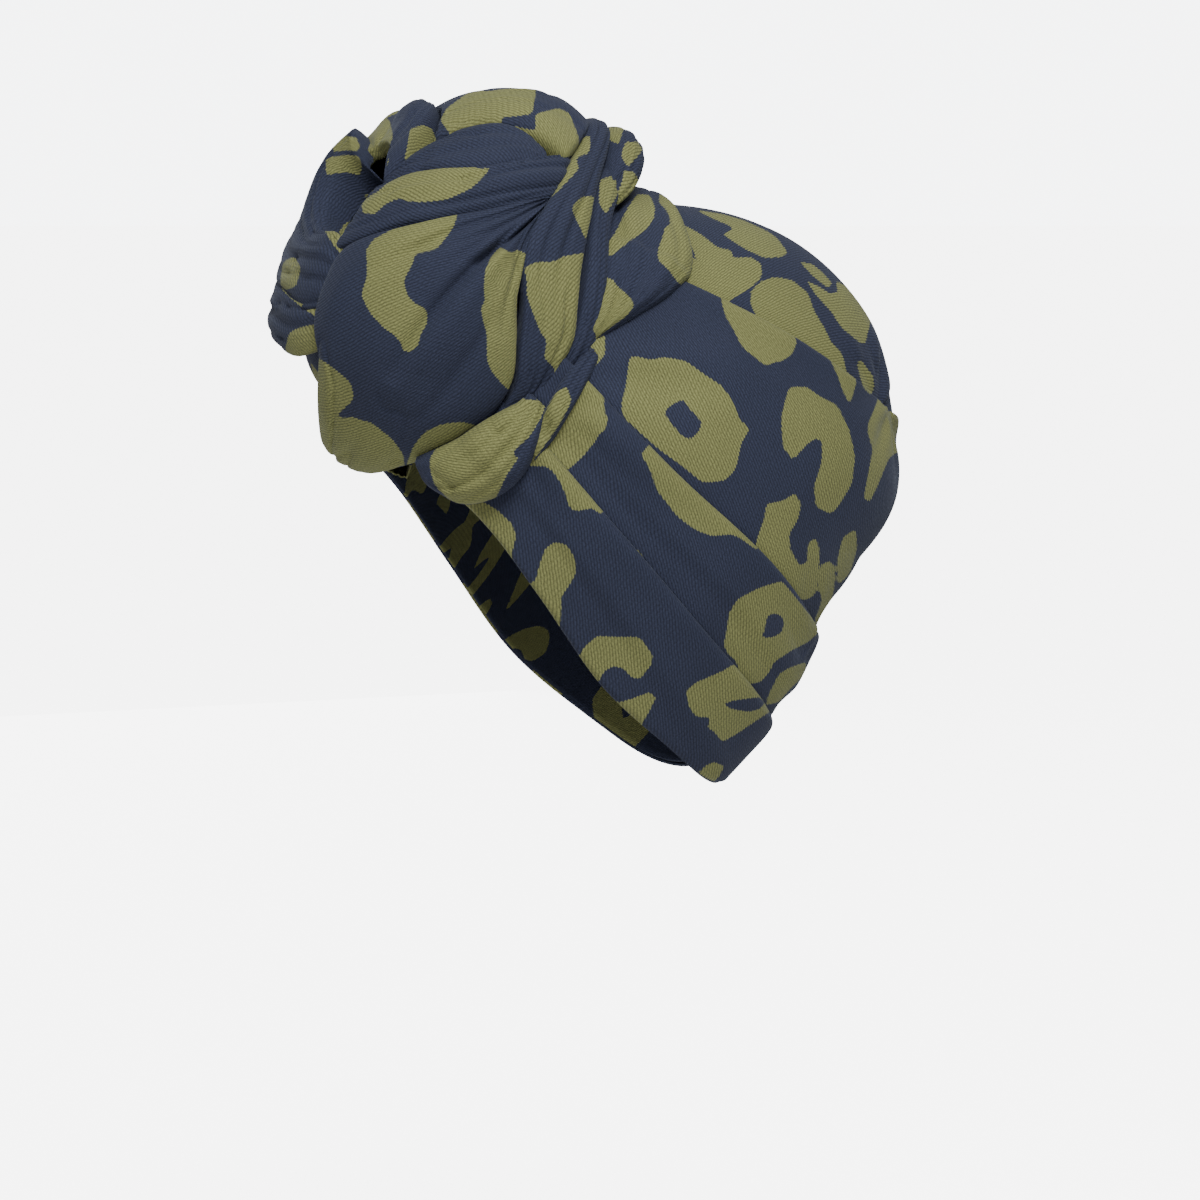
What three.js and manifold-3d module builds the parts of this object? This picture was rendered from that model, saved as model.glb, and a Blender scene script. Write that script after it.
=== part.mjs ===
// Turban headwrap: a pre-tied wrap of printed cloth with a coiled knot above the brow.
// Millimetres, +Z up, the face looks along -Y and the wearer's left is +X.
// The origin is where the middle of the head sits.

import * as THREE from 'three';
import { mergeVertices } from 'three/addons/utils/BufferGeometryUtils.js';
import Module from 'manifold-3d';

const wasm = await Module();
wasm.setup();

// Head hollow
const HEAD_HALF_WIDTH = 75;
const HEAD_HALF_LENGTH = 104;
const HEAD_HEIGHT = 89;
const HEAD_SET_BACK = 6;
const CROWN_TILT = 42;

// Cloth
const CAP_WALL = 1.5;
const WRAP_WALL = 1.5;
const GAP = 0.3;
const FOLD_ROLL = 1.2;
const OVERLAP = 9;
const OVERLAP_SHARE = 0.6;
const RIDE_START = 9.5;
const RIDE_END = 14;
const GATHER_DEPTH = 5;
const GATHER_WIDTH = 26;
const GATHER_FADE = 20;

// Knot
const KNOT_OUT = 60;
const KNOT_UP = 57;
const KNOT_LEAN = 46;
const KNOT_FRONT = 57;
const KNOT_HALF_HEIGHT = 73;
const KNOT_HALF_WIDTH = 70;
const KNOT_ROOT = 75;
const KNOT_SQUARENESS = 2.35;
const FOLD_TUCK = 7;
const FOLD_THICKNESS = 15;
const CORE_INSET = 16;
const FOOT_CLEARANCE = 0.5;
const CUT_SPREAD = 2;
const END_TAPER = 0.6;
const END_OPEN = 0.25;
const CORE_STEP = 18;
const CORE_END = 144;

// Mesh fineness
const ROUND_STEPS = 32;
const STATIONS_PER_ROW = 2;
const WELD = 1e-4;
const EDGE_SLACK = 0.01;

const NAVY = 0x2a2f40;
const GREEN = 0x6f7450;

const DEGREE = Math.PI / 180;

// Head form: shares of the three half sizes at each elevation
const HEAD_FORM = [
  { elevation: -90, back: 1.60, side: 1.70, front: 1.70 },
  { elevation: -75, back: 1.42, side: 1.60, front: 1.50 },
  { elevation: -60, back: 1.205, side: 1.37, front: 1.27 },
  { elevation: -45, back: 1.05, side: 1.19, front: 1.12 },
  { elevation: -30, back: 1.01, side: 1.08, front: 1.03 },
  { elevation: -15, back: 0.985, side: 1.02, front: 1.00 },
  { elevation: 0, back: 1.00, side: 1.00, front: 1.00 },
  { elevation: 15, back: 1.02, side: 1.005, front: 1.00 },
  { elevation: 30, back: 1.045, side: 1.02, front: 1.00 },
  { elevation: 45, back: 1.055, side: 1.03, front: 1.00 },
  { elevation: 60, back: 1.045, side: 1.02, front: 1.00 },
  { elevation: 90, back: 1.00, side: 1.00, front: 1.00 },
];

// Edges of the wraps, degrees down from the crown axis, by the turn round it from the nape
const WRAP_EDGES = [
  { turn: 0, rim: 124, front: 115.5, middle: 99, upper: 44 },
  { turn: 30, rim: 129.5, front: 115.5, middle: 99, upper: 45 },
  { turn: 60, rim: 136.5, front: 115.5, middle: 96.8, upper: 48 },
  { turn: 90, rim: 135.5, front: 112.5, middle: 95.2, upper: 52 },
  { turn: 120, rim: 131, front: 106.5, middle: 90.2, upper: 58.5 },
  { turn: 150, rim: 128.5, front: 101, middle: 84, upper: 66 },
  { turn: 180, rim: 127, front: 98, middle: 80, upper: 70 },
];

// Folds of the knot. Each row is a section from its one edge to its other:
// turn round the knot's axis and slope away from it in degrees, with the crest's height
// as a share of the knot's depth.
const KNOT_FOLDS = {
  long_band: [
    { turnA: 33, slopeA: 77, turnB: 54, slopeB: 80, crest: 0.04 },
    { turnA: 47, slopeA: 64, turnB: 70, slopeB: 65.5, crest: 0.07 },
    { turnA: 59, slopeA: 52, turnB: 88, slopeB: 50, crest: 0.08 },
    { turnA: 65, slopeA: 38, turnB: 100, slopeB: 41, crest: 0.08 },
    { turnA: 70, slopeA: 27, turnB: 122, slopeB: 33, crest: 0.07 },
    { turnA: 85, slopeA: 16, turnB: 140, slopeB: 28, crest: 0.04 },
  ],
  rope_inner: [
    { turnA: 340, slopeA: 80, turnB: 340, slopeB: 92, crest: 0.05 },
    { turnA: 371, slopeA: 80, turnB: 371, slopeB: 92, crest: 0.07 },
    { turnA: 395, slopeA: 77, turnB: 397, slopeB: 90, crest: 0.07 },
    { turnA: 415, slopeA: 77, turnB: 416, slopeB: 94, crest: 0.08 },
    { turnA: 430, slopeA: 78, turnB: 428, slopeB: 99, crest: 0.08 },
    { turnA: 440, slopeA: 83, turnB: 437, slopeB: 105, crest: 0.07 },
    { turnA: 448, slopeA: 92, turnB: 445, slopeB: 111, crest: 0.06 },
    { turnA: 458, slopeA: 100, turnB: 453, slopeB: 113.5, crest: 0.05 },
    { turnA: 468, slopeA: 108, turnB: 461, slopeB: 114.5, crest: 0.04 },
    { turnA: 478, slopeA: 110.5, turnB: 472, slopeB: 116, crest: 0.03 },
  ],
  rope_outer: [
    { turnA: 200, slopeA: 106, turnB: 200, slopeB: 120, crest: 0.09 },
    { turnA: 235, slopeA: 104, turnB: 235, slopeB: 119, crest: 0.10 },
    { turnA: 270, slopeA: 100, turnB: 270, slopeB: 116, crest: 0.10 },
    { turnA: 305, slopeA: 96, turnB: 305, slopeB: 112, crest: 0.10 },
    { turnA: 340, slopeA: 92, turnB: 340, slopeB: 106, crest: 0.10 },
    { turnA: 370, slopeA: 91.5, turnB: 374, slopeB: 100, crest: 0.09 },
    { turnA: 396, slopeA: 90, turnB: 398, slopeB: 98, crest: 0.07 },
    { turnA: 414, slopeA: 94, turnB: 413, slopeB: 101, crest: 0.07 },
    { turnA: 428, slopeA: 101, turnB: 426, slopeB: 109, crest: 0.07 },
    { turnA: 439, slopeA: 107.5, turnB: 437, slopeB: 116, crest: 0.06 },
    { turnA: 448, slopeA: 112, turnB: 448, slopeB: 119, crest: 0.05 },
    { turnA: 458, slopeA: 114.5, turnB: 459, slopeB: 120.5, crest: 0.04 },
    { turnA: 468, slopeA: 116, turnB: 468, slopeB: 123, crest: 0.03 },
  ],
  lobe: [
    { turnA: 57, slopeA: 76, turnB: 60, slopeB: 77.5, crest: 0.02 },
    { turnA: 71, slopeA: 64, turnB: 73, slopeB: 80, crest: 0.05 },
    { turnA: 88, slopeA: 49, turnB: 86, slopeB: 88, crest: 0.10 },
    { turnA: 109, slopeA: 36, turnB: 97, slopeB: 98, crest: 0.12 },
    { turnA: 130, slopeA: 32, turnB: 107, slopeB: 106, crest: 0.12 },
    { turnA: 148, slopeA: 42, turnB: 122, slopeB: 110, crest: 0.12 },
    { turnA: 160, slopeA: 58, turnB: 137, slopeB: 109, crest: 0.12 },
    { turnA: 178, slopeA: 78, turnB: 150, slopeB: 108, crest: 0.10 },
    { turnA: 194, slopeA: 90, turnB: 167, slopeB: 108, crest: 0.07 },
  ],
  dome_fold: [
    { turnA: 40, slopeA: 68, turnB: 48, slopeB: 72, crest: 0.02 },
    { turnA: 35, slopeA: 59, turnB: 52, slopeB: 62, crest: 0.06 },
    { turnA: 31, slopeA: 50, turnB: 62, slopeB: 52, crest: 0.08 },
    { turnA: 33, slopeA: 42, turnB: 68, slopeB: 40, crest: 0.08 },
    { turnA: 38, slopeA: 34, turnB: 72, slopeB: 30, crest: 0.06 },
    { turnA: 50, slopeA: 22, turnB: 82, slopeB: 18, crest: 0.03 },
  ],
  curl: [
    { turnA: 312, slopeA: 24, turnB: 345, slopeB: 8, crest: 0.19 },
    { turnA: 283, slopeA: 26, turnB: 280, slopeB: 8, crest: 0.17 },
    { turnA: 255, slopeA: 27, turnB: 232, slopeB: 9, crest: 0.14 },
    { turnA: 222, slopeA: 28, turnB: 182, slopeB: 13, crest: 0.10 },
    { turnA: 186, slopeA: 30, turnB: 142, slopeB: 20, crest: 0.06 },
  ],
  top_left_fold: [
    { turnA: 300, slopeA: 48, turnB: 380, slopeB: 38, crest: 0.18 },
    { turnA: 296, slopeA: 34, turnB: 385, slopeB: 24, crest: 0.21 },
    { turnA: 306, slopeA: 22, turnB: 412, slopeB: 19, crest: 0.19 },
    { turnA: 330, slopeA: 12, turnB: 440, slopeB: 15, crest: 0.13 },
  ],
  top_fold: [
    { turnA: 350, slopeA: 84, turnB: 400, slopeB: 74, crest: 0.06 },
    { turnA: 338, slopeA: 71, turnB: 396, slopeB: 61, crest: 0.14 },
    { turnA: 330, slopeA: 57, turnB: 393, slopeB: 50, crest: 0.17 },
    { turnA: 324, slopeA: 45, turnB: 395, slopeB: 42, crest: 0.17 },
    { turnA: 318, slopeA: 34, turnB: 401, slopeB: 33, crest: 0.13 },
  ],
  left_upper_fold: [
    { turnA: 290, slopeA: 46, turnB: 268, slopeB: 20, crest: 0.09 },
    { turnA: 250, slopeA: 50, turnB: 242, slopeB: 20, crest: 0.12 },
    { turnA: 215, slopeA: 50, turnB: 212, slopeB: 20, crest: 0.11 },
    { turnA: 185, slopeA: 49, turnB: 168, slopeB: 22, crest: 0.08 },
    { turnA: 163, slopeA: 52, turnB: 140, slopeB: 30, crest: 0.05 },
  ],
  left_lower_fold: [
    { turnA: 300, slopeA: 72, turnB: 292, slopeB: 44, crest: 0.06 },
    { turnA: 260, slopeA: 76, turnB: 252, slopeB: 46, crest: 0.08 },
    { turnA: 222, slopeA: 76, turnB: 216, slopeB: 44, crest: 0.08 },
    { turnA: 190, slopeA: 72, turnB: 188, slopeB: 43, crest: 0.07 },
    { turnA: 168, slopeA: 70, turnB: 162, slopeB: 43, crest: 0.05 },
  ],
  top_right_fold: [
    { turnA: 332, slopeA: 84, turnB: 332, slopeB: 100, crest: 0.10 },
    { turnA: 352, slopeA: 82, turnB: 353, slopeB: 102, crest: 0.18 },
    { turnA: 372, slopeA: 83, turnB: 374, slopeB: 103, crest: 0.21 },
    { turnA: 384, slopeA: 90, turnB: 386, slopeB: 101, crest: 0.14 },
    { turnA: 396, slopeA: 93, turnB: 397, slopeB: 99, crest: 0.06 },
  ],
  far_lobe: [
    { turnA: 180, slopeA: 76, turnB: 178, slopeB: 103, crest: 0.07 },
    { turnA: 205, slopeA: 68, turnB: 205, slopeB: 106, crest: 0.10 },
    { turnA: 235, slopeA: 62, turnB: 235, slopeB: 105, crest: 0.12 },
    { turnA: 270, slopeA: 54, turnB: 270, slopeB: 102, crest: 0.12 },
    { turnA: 302, slopeA: 48, turnB: 305, slopeB: 97, crest: 0.10 },
    { turnA: 328, slopeA: 54, turnB: 335, slopeB: 92, crest: 0.07 },
    { turnA: 346, slopeA: 66, turnB: 352, slopeB: 86, crest: 0.03 },
  ],
};

// Folds at the knot's foot, which lie on the head: turn and slope on the head form
const FOOT_FOLDS = {
  strand: [
    { turnA: 123, slopeA: 86, turnB: 119, slopeB: 87, crest: 0.08 },
    { turnA: 121, slopeA: 93, turnB: 116, slopeB: 94, crest: 0.12 },
    { turnA: 121, slopeA: 98, turnB: 114, slopeB: 99, crest: 0.12 },
    { turnA: 121, slopeA: 102, turnB: 113, slopeB: 105, crest: 0.12 },
    { turnA: 120, slopeA: 107, turnB: 112, slopeB: 110, crest: 0.10 },
    { turnA: 117, slopeA: 112, turnB: 113, slopeB: 113, crest: 0.06 },
  ],
  tail: [
    { turnA: 132, slopeA: 96, turnB: 120, slopeB: 97, crest: 0.08 },
    { turnA: 136, slopeA: 102, turnB: 117, slopeB: 107, crest: 0.16 },
    { turnA: 140, slopeA: 108, turnB: 114, slopeB: 114, crest: 0.20 },
    { turnA: 144, slopeA: 115, turnB: 118, slopeB: 123, crest: 0.22 },
    { turnA: 148, slopeA: 120, turnB: 130, slopeB: 130, crest: 0.20 },
    { turnA: 152, slopeA: 124, turnB: 146, slopeB: 131, crest: 0.12 },
  ],
  puff: [
    { turnA: 232, slopeA: 62, turnB: 222, slopeB: 54, crest: 0.06 },
    { turnA: 215, slopeA: 54, turnB: 206, slopeB: 42, crest: 0.14 },
    { turnA: 190, slopeA: 50, turnB: 182, slopeB: 34, crest: 0.19 },
    { turnA: 170, slopeA: 53, turnB: 152, slopeB: 36, crest: 0.19 },
    { turnA: 151, slopeA: 62, turnB: 133, slopeB: 47, crest: 0.18 },
    { turnA: 138, slopeA: 70, turnB: 124, slopeB: 57, crest: 0.16 },
    { turnA: 130, slopeA: 77, turnB: 119, slopeB: 67, crest: 0.12 },
    { turnA: 124, slopeA: 83, turnB: 119, slopeB: 78, crest: 0.06 },
  ],
};

// Section of a fold: place across it from edge to edge, height as a share of the crest,
// depth below the knot's form as a share of the tuck and of the thickness
const FOLD_SECTION = [
  { across: -1.00, crest: 0, tuck: 1, thickness: 0 },
  { across: -0.95, crest: 0.42, tuck: 0, thickness: 0 },
  { across: -0.55, crest: 0.88, tuck: 0, thickness: 0 },
  { across: 0, crest: 1.00, tuck: 0, thickness: 0 },
  { across: 0.55, crest: 0.88, tuck: 0, thickness: 0 },
  { across: 0.95, crest: 0.42, tuck: 0, thickness: 0 },
  { across: 1.00, crest: 0, tuck: 1, thickness: 0 },
  { across: 0.55, crest: 0, tuck: 0, thickness: 1 },
  { across: 0, crest: 0, tuck: 0, thickness: 1 },
  { across: -0.55, crest: 0, tuck: 0, thickness: 1 },
];

function mix(a, b, share) {
  return a + (b - a) * share;
}

function smoothStep(low, high, value) {
  const share = THREE.MathUtils.clamp((value - low) / (high - low), 0, 1);
  return share * share * (3 - 2 * share);
}

// A column of a table, read on a smooth curve through its rows
function readTable(rows, key, column, value) {
  let row = 0;
  while (row < rows.length - 2 && value > rows[row + 1][key]) row += 1;
  const from = rows[row];
  const to = rows[row + 1];
  const share = THREE.MathUtils.clamp((value - from[key]) / (to[key] - from[key]), 0, 1);
  const before = rows[Math.max(row - 1, 0)][column];
  const after = rows[Math.min(row + 2, rows.length - 1)][column];
  return curveValue(before, from[column], to[column], after, share);
}

function curveValue(before, from, to, after, share) {
  const rise = to - before;
  const bend = 2 * before - 5 * from + 4 * to - after;
  const swing = -before + 3 * from - 3 * to + after;
  return 0.5 * (2 * from + rise * share + bend * share ** 2 + swing * share ** 3);
}

// Head form

const crownAxis = new THREE.Vector3(0, Math.sin(CROWN_TILT * DEGREE), Math.cos(CROWN_TILT * DEGREE));
const napeAxis = new THREE.Vector3(0, Math.cos(CROWN_TILT * DEGREE), -Math.sin(CROWN_TILT * DEGREE));
const leftAxis = new THREE.Vector3(1, 0, 0);
const headCentre = new THREE.Vector3(0, HEAD_SET_BACK, 0);
const headHalf = new THREE.Vector3(HEAD_HALF_WIDTH, HEAD_HALF_LENGTH, HEAD_HEIGHT);

function bareHeadPoint(turn, slope) {
  const direction = crownAxis.clone().multiplyScalar(Math.cos(slope * DEGREE));
  direction.addScaledVector(napeAxis, Math.sin(slope * DEGREE) * Math.cos(turn * DEGREE));
  direction.addScaledVector(leftAxis, Math.sin(slope * DEGREE) * Math.sin(turn * DEGREE));
  const elevation = Math.asin(THREE.MathUtils.clamp(direction.z, -1, 1)) / DEGREE;
  const heading = Math.atan2(direction.x, direction.y);
  const lengthwise = Math.cos(heading);
  const sideways = Math.sin(heading);
  const end = readTable(HEAD_FORM, 'elevation', lengthwise > 0 ? 'back' : 'front', elevation);
  const side = readTable(HEAD_FORM, 'elevation', 'side', elevation);
  const share = end * lengthwise ** 2 + side * sideways ** 2;
  return direction.multiply(headHalf).multiplyScalar(share).add(headCentre);
}

function headNormal(turn, slope) {
  const step = 0.5;
  const down = bareHeadPoint(turn, slope + step).sub(bareHeadPoint(turn, slope - step));
  const round = bareHeadPoint(turn + step, slope).sub(bareHeadPoint(turn - step, slope));
  if (slope < step) return crownAxis.clone();
  return round.cross(down).normalize();
}

function edgeSlope(edge, turn) {
  const folded = Math.abs(THREE.MathUtils.euclideanModulo(turn + 180, 360) - 180);
  return readTable(WRAP_EDGES, 'turn', edge, folded);
}

// Where the cloth is drawn in at the back: on the crown, and again at the nape
const GATHERS = [
  { slope: 42, reach: 9, share: 0.8 },
  { slope: 97, reach: 7, share: 1 },
];

function gatherDip(turn, slope) {
  const sideways = (THREE.MathUtils.euclideanModulo(turn + 180, 360) - 180) / GATHER_WIDTH;
  let dip = 0;
  for (const gather of GATHERS) {
    const down = (slope - gather.slope) / gather.reach;
    dip -= GATHER_DEPTH * gather.share * Math.exp(-(sideways ** 2) - down ** 2);
  }
  return dip;
}

function headPoint(turn, slope, lift) {
  const fade = smoothStep(0, GATHER_FADE, slope);
  const height = lift + gatherDip(turn, slope) * fade;
  return bareHeadPoint(turn, slope).addScaledVector(headNormal(turn, slope), height);
}

// Wraps, from the crown down. Each rests on the cap and rides over the wrap above it.
const WRAPS = {
  upper_wrap: { top: 'upper', bottom: 'middle', over: false },
  middle_wrap: { top: 'middle', bottom: 'front', over: true },
  front_band: { top: 'front', bottom: 'rim', over: true },
};

// Rows that the cap and the wraps share, so that their faces lie along each other:
// a row lies a share of the way from one edge to the next, or past the overlap
const WRAP_ROWS = [
  ...evenRows('crown', 'upper', 4),
  ...evenRows('upper', 'middle', 4),
  ...overlapRows('middle', 'front'),
  ...overlapRows('front', 'rim'),
  { from: 'front', to: 'rim', share: 0.72 },
  { from: 'rim', to: 'rim', share: 0 },
];

function evenRows(from, to, count) {
  return Array.from({ length: count }, (unused, row) => ({ from, to, share: row / count }));
}

function overlapRows(from, to) {
  return [0, 0.5, 1].map((overlap) => ({ from, to, overlap }));
}

function rowSlope(row, turn) {
  const start = row.from === 'crown' ? 0 : edgeSlope(row.from, turn);
  const end = row.to === 'chin' ? 180 : edgeSlope(row.to, turn);
  const share = row.share * (end - start);
  const overlap = row.overlap * Math.min(OVERLAP, OVERLAP_SHARE * (end - start));
  return start + (row.overlap === undefined ? share : overlap);
}

function wrapLift(wrap, turn, slope) {
  const below = slope - edgeSlope(wrap.top, turn);
  const layer = CAP_WALL + GAP;
  const ride = (WRAP_WALL + GAP) * (1 - smoothStep(RIDE_START, RIDE_END, below));
  return wrap.over ? layer + ride : layer;
}

// Meshes

function closedMesh(points, triangles) {
  const geometry = new THREE.BufferGeometry();
  const positions = points.flatMap((point) => [point.x, point.y, point.z]);
  geometry.setAttribute('position', new THREE.Float32BufferAttribute(positions, 3));
  geometry.setIndex(triangles);
  return mergeVertices(geometry, WELD);
}

// A closed skin over rings of points. The first and last rings close to a point or,
// for a hoop, on each other. From the turned ring on, the faces are split the other way,
// so that the inside of one layer follows the outside of the one below it.
function skinRings(rings, hoop, turnedRing = Infinity, poles = []) {
  const count = rings[0].length;
  const points = rings.flat();
  const triangles = [];
  const last = hoop ? rings.length : rings.length - 1;
  for (let ring = 0; ring < last; ring += 1) {
    const next = (ring + 1) % rings.length;
    for (let step = 0; step < count; step += 1) {
      const a = ring * count + step;
      const b = ring * count + (step + 1) % count;
      const c = next * count + (step + 1) % count;
      const d = next * count + step;
      triangles.push(...(ring >= turnedRing ? [a, b, d, b, c, d] : [a, b, c, a, c, d]));
    }
  }
  if (!hoop) {
    for (const [ring, turned] of [[0, true], [rings.length - 1, false]]) {
      const middle = new THREE.Vector3();
      for (const point of rings[ring]) middle.addScaledVector(point, 1 / count);
      points.push(poles[turned ? 0 : 1] ?? middle);
      for (let step = 0; step < count; step += 1) {
        const a = ring * count + step;
        const b = ring * count + (step + 1) % count;
        triangles.push(...(turned ? [b, a, points.length - 1] : [a, b, points.length - 1]));
      }
    }
  }
  return outward(dropFlat(closedMesh(points, triangles)));
}

function dropFlat(geometry) {
  const kept = [];
  const index = geometry.index.array;
  for (let start = 0; start < index.length; start += 3) {
    const [a, b, c] = [index[start], index[start + 1], index[start + 2]];
    if (a !== b && b !== c && a !== c) kept.push(a, b, c);
  }
  geometry.setIndex(kept);
  return geometry;
}

function outward(geometry) {
  const place = geometry.attributes.position;
  const index = geometry.index.array;
  const [a, b, c] = [new THREE.Vector3(), new THREE.Vector3(), new THREE.Vector3()];
  let volume = 0;
  for (let start = 0; start < index.length; start += 3) {
    a.fromBufferAttribute(place, index[start]);
    b.fromBufferAttribute(place, index[start + 1]);
    c.fromBufferAttribute(place, index[start + 2]);
    volume += a.dot(b.cross(c));
  }
  if (volume < 0) {
    const turned = [];
    for (let start = 0; start < index.length; start += 3) {
      turned.push(index[start], index[start + 2], index[start + 1]);
    }
    geometry.setIndex(turned);
  }
  return geometry;
}

function turnsRound() {
  return Array.from({ length: ROUND_STEPS }, (unused, step) => (360 * step) / ROUND_STEPS);
}

// Crown cap: one cloth dome from the crown down to the hem
function capGeometry() {
  const ring = (row, lift) => turnsRound().map((turn) => headPoint(turn, rowSlope(row, turn), lift));
  const rows = WRAP_ROWS.slice(1);
  const outside = rows.map((row) => ring(row, CAP_WALL));
  const inside = rows.map((row) => ring(row, 0)).reverse();
  const poles = [headPoint(0, 0, CAP_WALL), headPoint(0, 0, 0)];
  return skinRings([...outside, ...inside], false, outside.length, poles);
}

// A wrap: a hoop of cloth with a rolled top edge
function wrapGeometry(name) {
  const wrap = WRAPS[name];
  const first = WRAP_ROWS.findIndex((row) => row.from === wrap.top);
  const last = WRAP_ROWS.findIndex((row) => row.from === wrap.bottom) + (wrap.bottom === 'rim' ? 0 : 2);
  const rows = WRAP_ROWS.slice(first, last + 1);
  const ring = (row, rise) => turnsRound().map((turn) => {
    const slope = rowSlope(row, turn);
    return headPoint(turn, slope, wrapLift(wrap, turn, slope) + rise);
  });
  const outside = rows.map((row, step) => ring(row, WRAP_WALL + (step === 0 ? FOLD_ROLL : 0)));
  const inside = rows.map((row) => ring(row, 0)).reverse();
  return skinRings([...outside, ...inside], true, outside.length);
}

// Knot form: a rounded bun that leans forward off the head

const knotAxis = new THREE.Vector3(0, -Math.sin(KNOT_LEAN * DEGREE), Math.cos(KNOT_LEAN * DEGREE));
const knotTop = new THREE.Vector3(0, Math.cos(KNOT_LEAN * DEGREE), Math.sin(KNOT_LEAN * DEGREE));
const knotCentre = new THREE.Vector3(0, -KNOT_OUT, KNOT_UP);

function knotPoint(turn, slope, lift) {
  const along = Math.cos(slope * DEGREE);
  const across = Math.sin(slope * DEGREE);
  const up = across * Math.cos(turn * DEGREE);
  const left = across * Math.sin(turn * DEGREE);
  const power = KNOT_SQUARENESS;
  const squared = (Math.abs(along) ** power + Math.abs(across) ** power) ** (-1 / power);
  const depth = along > 0 ? KNOT_FRONT : KNOT_ROOT;
  const point = knotCentre.clone();
  point.addScaledVector(knotAxis, along * depth * squared);
  point.addScaledVector(knotTop, up * KNOT_HALF_HEIGHT * squared);
  point.addScaledVector(leftAxis, left * KNOT_HALF_WIDTH * squared);
  const steepness = Math.abs(across) ** (power - 2);
  const normal = new THREE.Vector3();
  normal.addScaledVector(knotAxis, (Math.sign(along) * Math.abs(along) ** (power - 1)) / depth);
  normal.addScaledVector(knotTop, (up * steepness) / KNOT_HALF_HEIGHT);
  normal.addScaledVector(leftAxis, (left * steepness) / KNOT_HALF_WIDTH);
  return point.addScaledVector(normal.normalize(), lift);
}

function foldSections(rows, form) {
  const sections = [];
  const stations = (rows.length - 1) * STATIONS_PER_ROW;
  for (let station = 0; station <= stations; station += 1) {
    const along = station / STATIONS_PER_ROW;
    const row = Math.min(Math.floor(along), rows.length - 2);
    const read = (column) => curveValue(
      rows[Math.max(row - 1, 0)][column],
      rows[row][column],
      rows[row + 1][column],
      rows[Math.min(row + 2, rows.length - 1)][column],
      along - row,
    );
    const fromEnd = Math.min(along, rows.length - 1 - along);
    const ends = smoothStep(0, END_TAPER, fromEnd + END_OPEN);
    sections.push(FOLD_SECTION.map((spot) => {
      const share = 0.5 + 0.5 * spot.across;
      const turn = mix(read('turnA'), read('turnB'), share);
      const slope = mix(read('slopeA'), read('slopeB'), share);
      const crest = spot.crest * read('crest') * KNOT_FRONT * ends;
      const sink = spot.tuck * FOLD_TUCK + spot.thickness * FOLD_THICKNESS;
      return form(turn, slope, crest - sink);
    }));
  }
  return sections;
}

// Solids

function solidOf(geometry) {
  const bare = new THREE.BufferGeometry();
  bare.setAttribute('position', geometry.attributes.position);
  bare.setIndex(geometry.index);
  const merged = mergeVertices(bare, WELD);
  const mesh = new wasm.Mesh({
    numProp: 3,
    vertProperties: new Float32Array(merged.attributes.position.array),
    triVerts: new Uint32Array(merged.index.array),
  });
  return new wasm.Manifold(mesh);
}

// The same shape with its faces moved out, for cutting what lies under it
function grown(geometry, by) {
  const wide = geometry.clone();
  wide.computeVertexNormals();
  const place = wide.attributes.position;
  const normal = wide.attributes.normal;
  for (let spot = 0; spot < place.count; spot += 1) {
    const point = new THREE.Vector3().fromBufferAttribute(place, spot);
    point.addScaledVector(new THREE.Vector3().fromBufferAttribute(normal, spot), by);
    place.setXYZ(spot, point.x, point.y, point.z);
  }
  return wide;
}

function geometryOf(solid) {
  const mesh = solid.getMesh();
  const geometry = new THREE.BufferGeometry();
  geometry.setAttribute('position', new THREE.Float32BufferAttribute(Array.from(mesh.vertProperties), 3));
  geometry.setIndex(Array.from(mesh.triVerts));
  return largestShell(mergeVertices(geometry, WELD));
}

// Cutting can leave a sliver beside the piece, which is dropped
function largestShell(geometry) {
  const index = geometry.index.array;
  const parent = Array.from({ length: geometry.attributes.position.count }, (unused, spot) => spot);
  const rootOf = (spot) => {
    let root = spot;
    while (parent[root] !== root) root = parent[root];
    parent[spot] = root;
    return root;
  };
  for (let start = 0; start < index.length; start += 3) {
    const root = rootOf(index[start]);
    parent[rootOf(index[start + 1])] = root;
    parent[rootOf(index[start + 2])] = root;
  }
  const shells = new Map();
  for (let start = 0; start < index.length; start += 3) {
    const root = rootOf(index[start]);
    if (!shells.has(root)) shells.set(root, []);
    shells.get(root).push(index[start], index[start + 1], index[start + 2]);
  }
  const largest = [...shells.values()].sort((one, other) => other.length - one.length)[0];
  geometry.setIndex(largest);
  return dropFlat(geometry);
}

// The outside of the wraps with the gap that the knot's pieces keep to it
function footPoint(turn, slope, lift) {
  const lifts = Object.values(WRAPS).map((wrap) => (
    slope >= edgeSlope(wrap.top, turn) - EDGE_SLACK ? wrapLift(wrap, turn, slope) + WRAP_WALL + FOLD_ROLL : 0
  ));
  return headPoint(turn, slope, Math.max(CAP_WALL, ...lifts) + FOOT_CLEARANCE + lift);
}

// The head with its wraps, filled, which the knot's pieces clear
function headBlock() {
  const below = [0.2, 0.4, 0.6, 0.8, 0.95].map((share) => ({ from: 'rim', to: 'chin', share }));
  const rows = [...WRAP_ROWS.slice(1), ...below];
  return solidOf(skinRings(rows.map((row) => (
    turnsRound().map((turn) => footPoint(turn, rowSlope(row, turn), 0))
  )), false));
}

function coreGeometry() {
  const rings = [];
  for (let slope = CORE_STEP; slope <= CORE_END; slope += CORE_STEP) {
    rings.push(turnsRound().filter((turn, step) => step % 2 === 0).map((turn) => (
      knotPoint(turn, slope, -CORE_INSET)
    )));
  }
  return skinRings(rings, false);
}

// Assembly

const headwrap = new THREE.Group();
headwrap.name = 'turban_headwrap';

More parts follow.
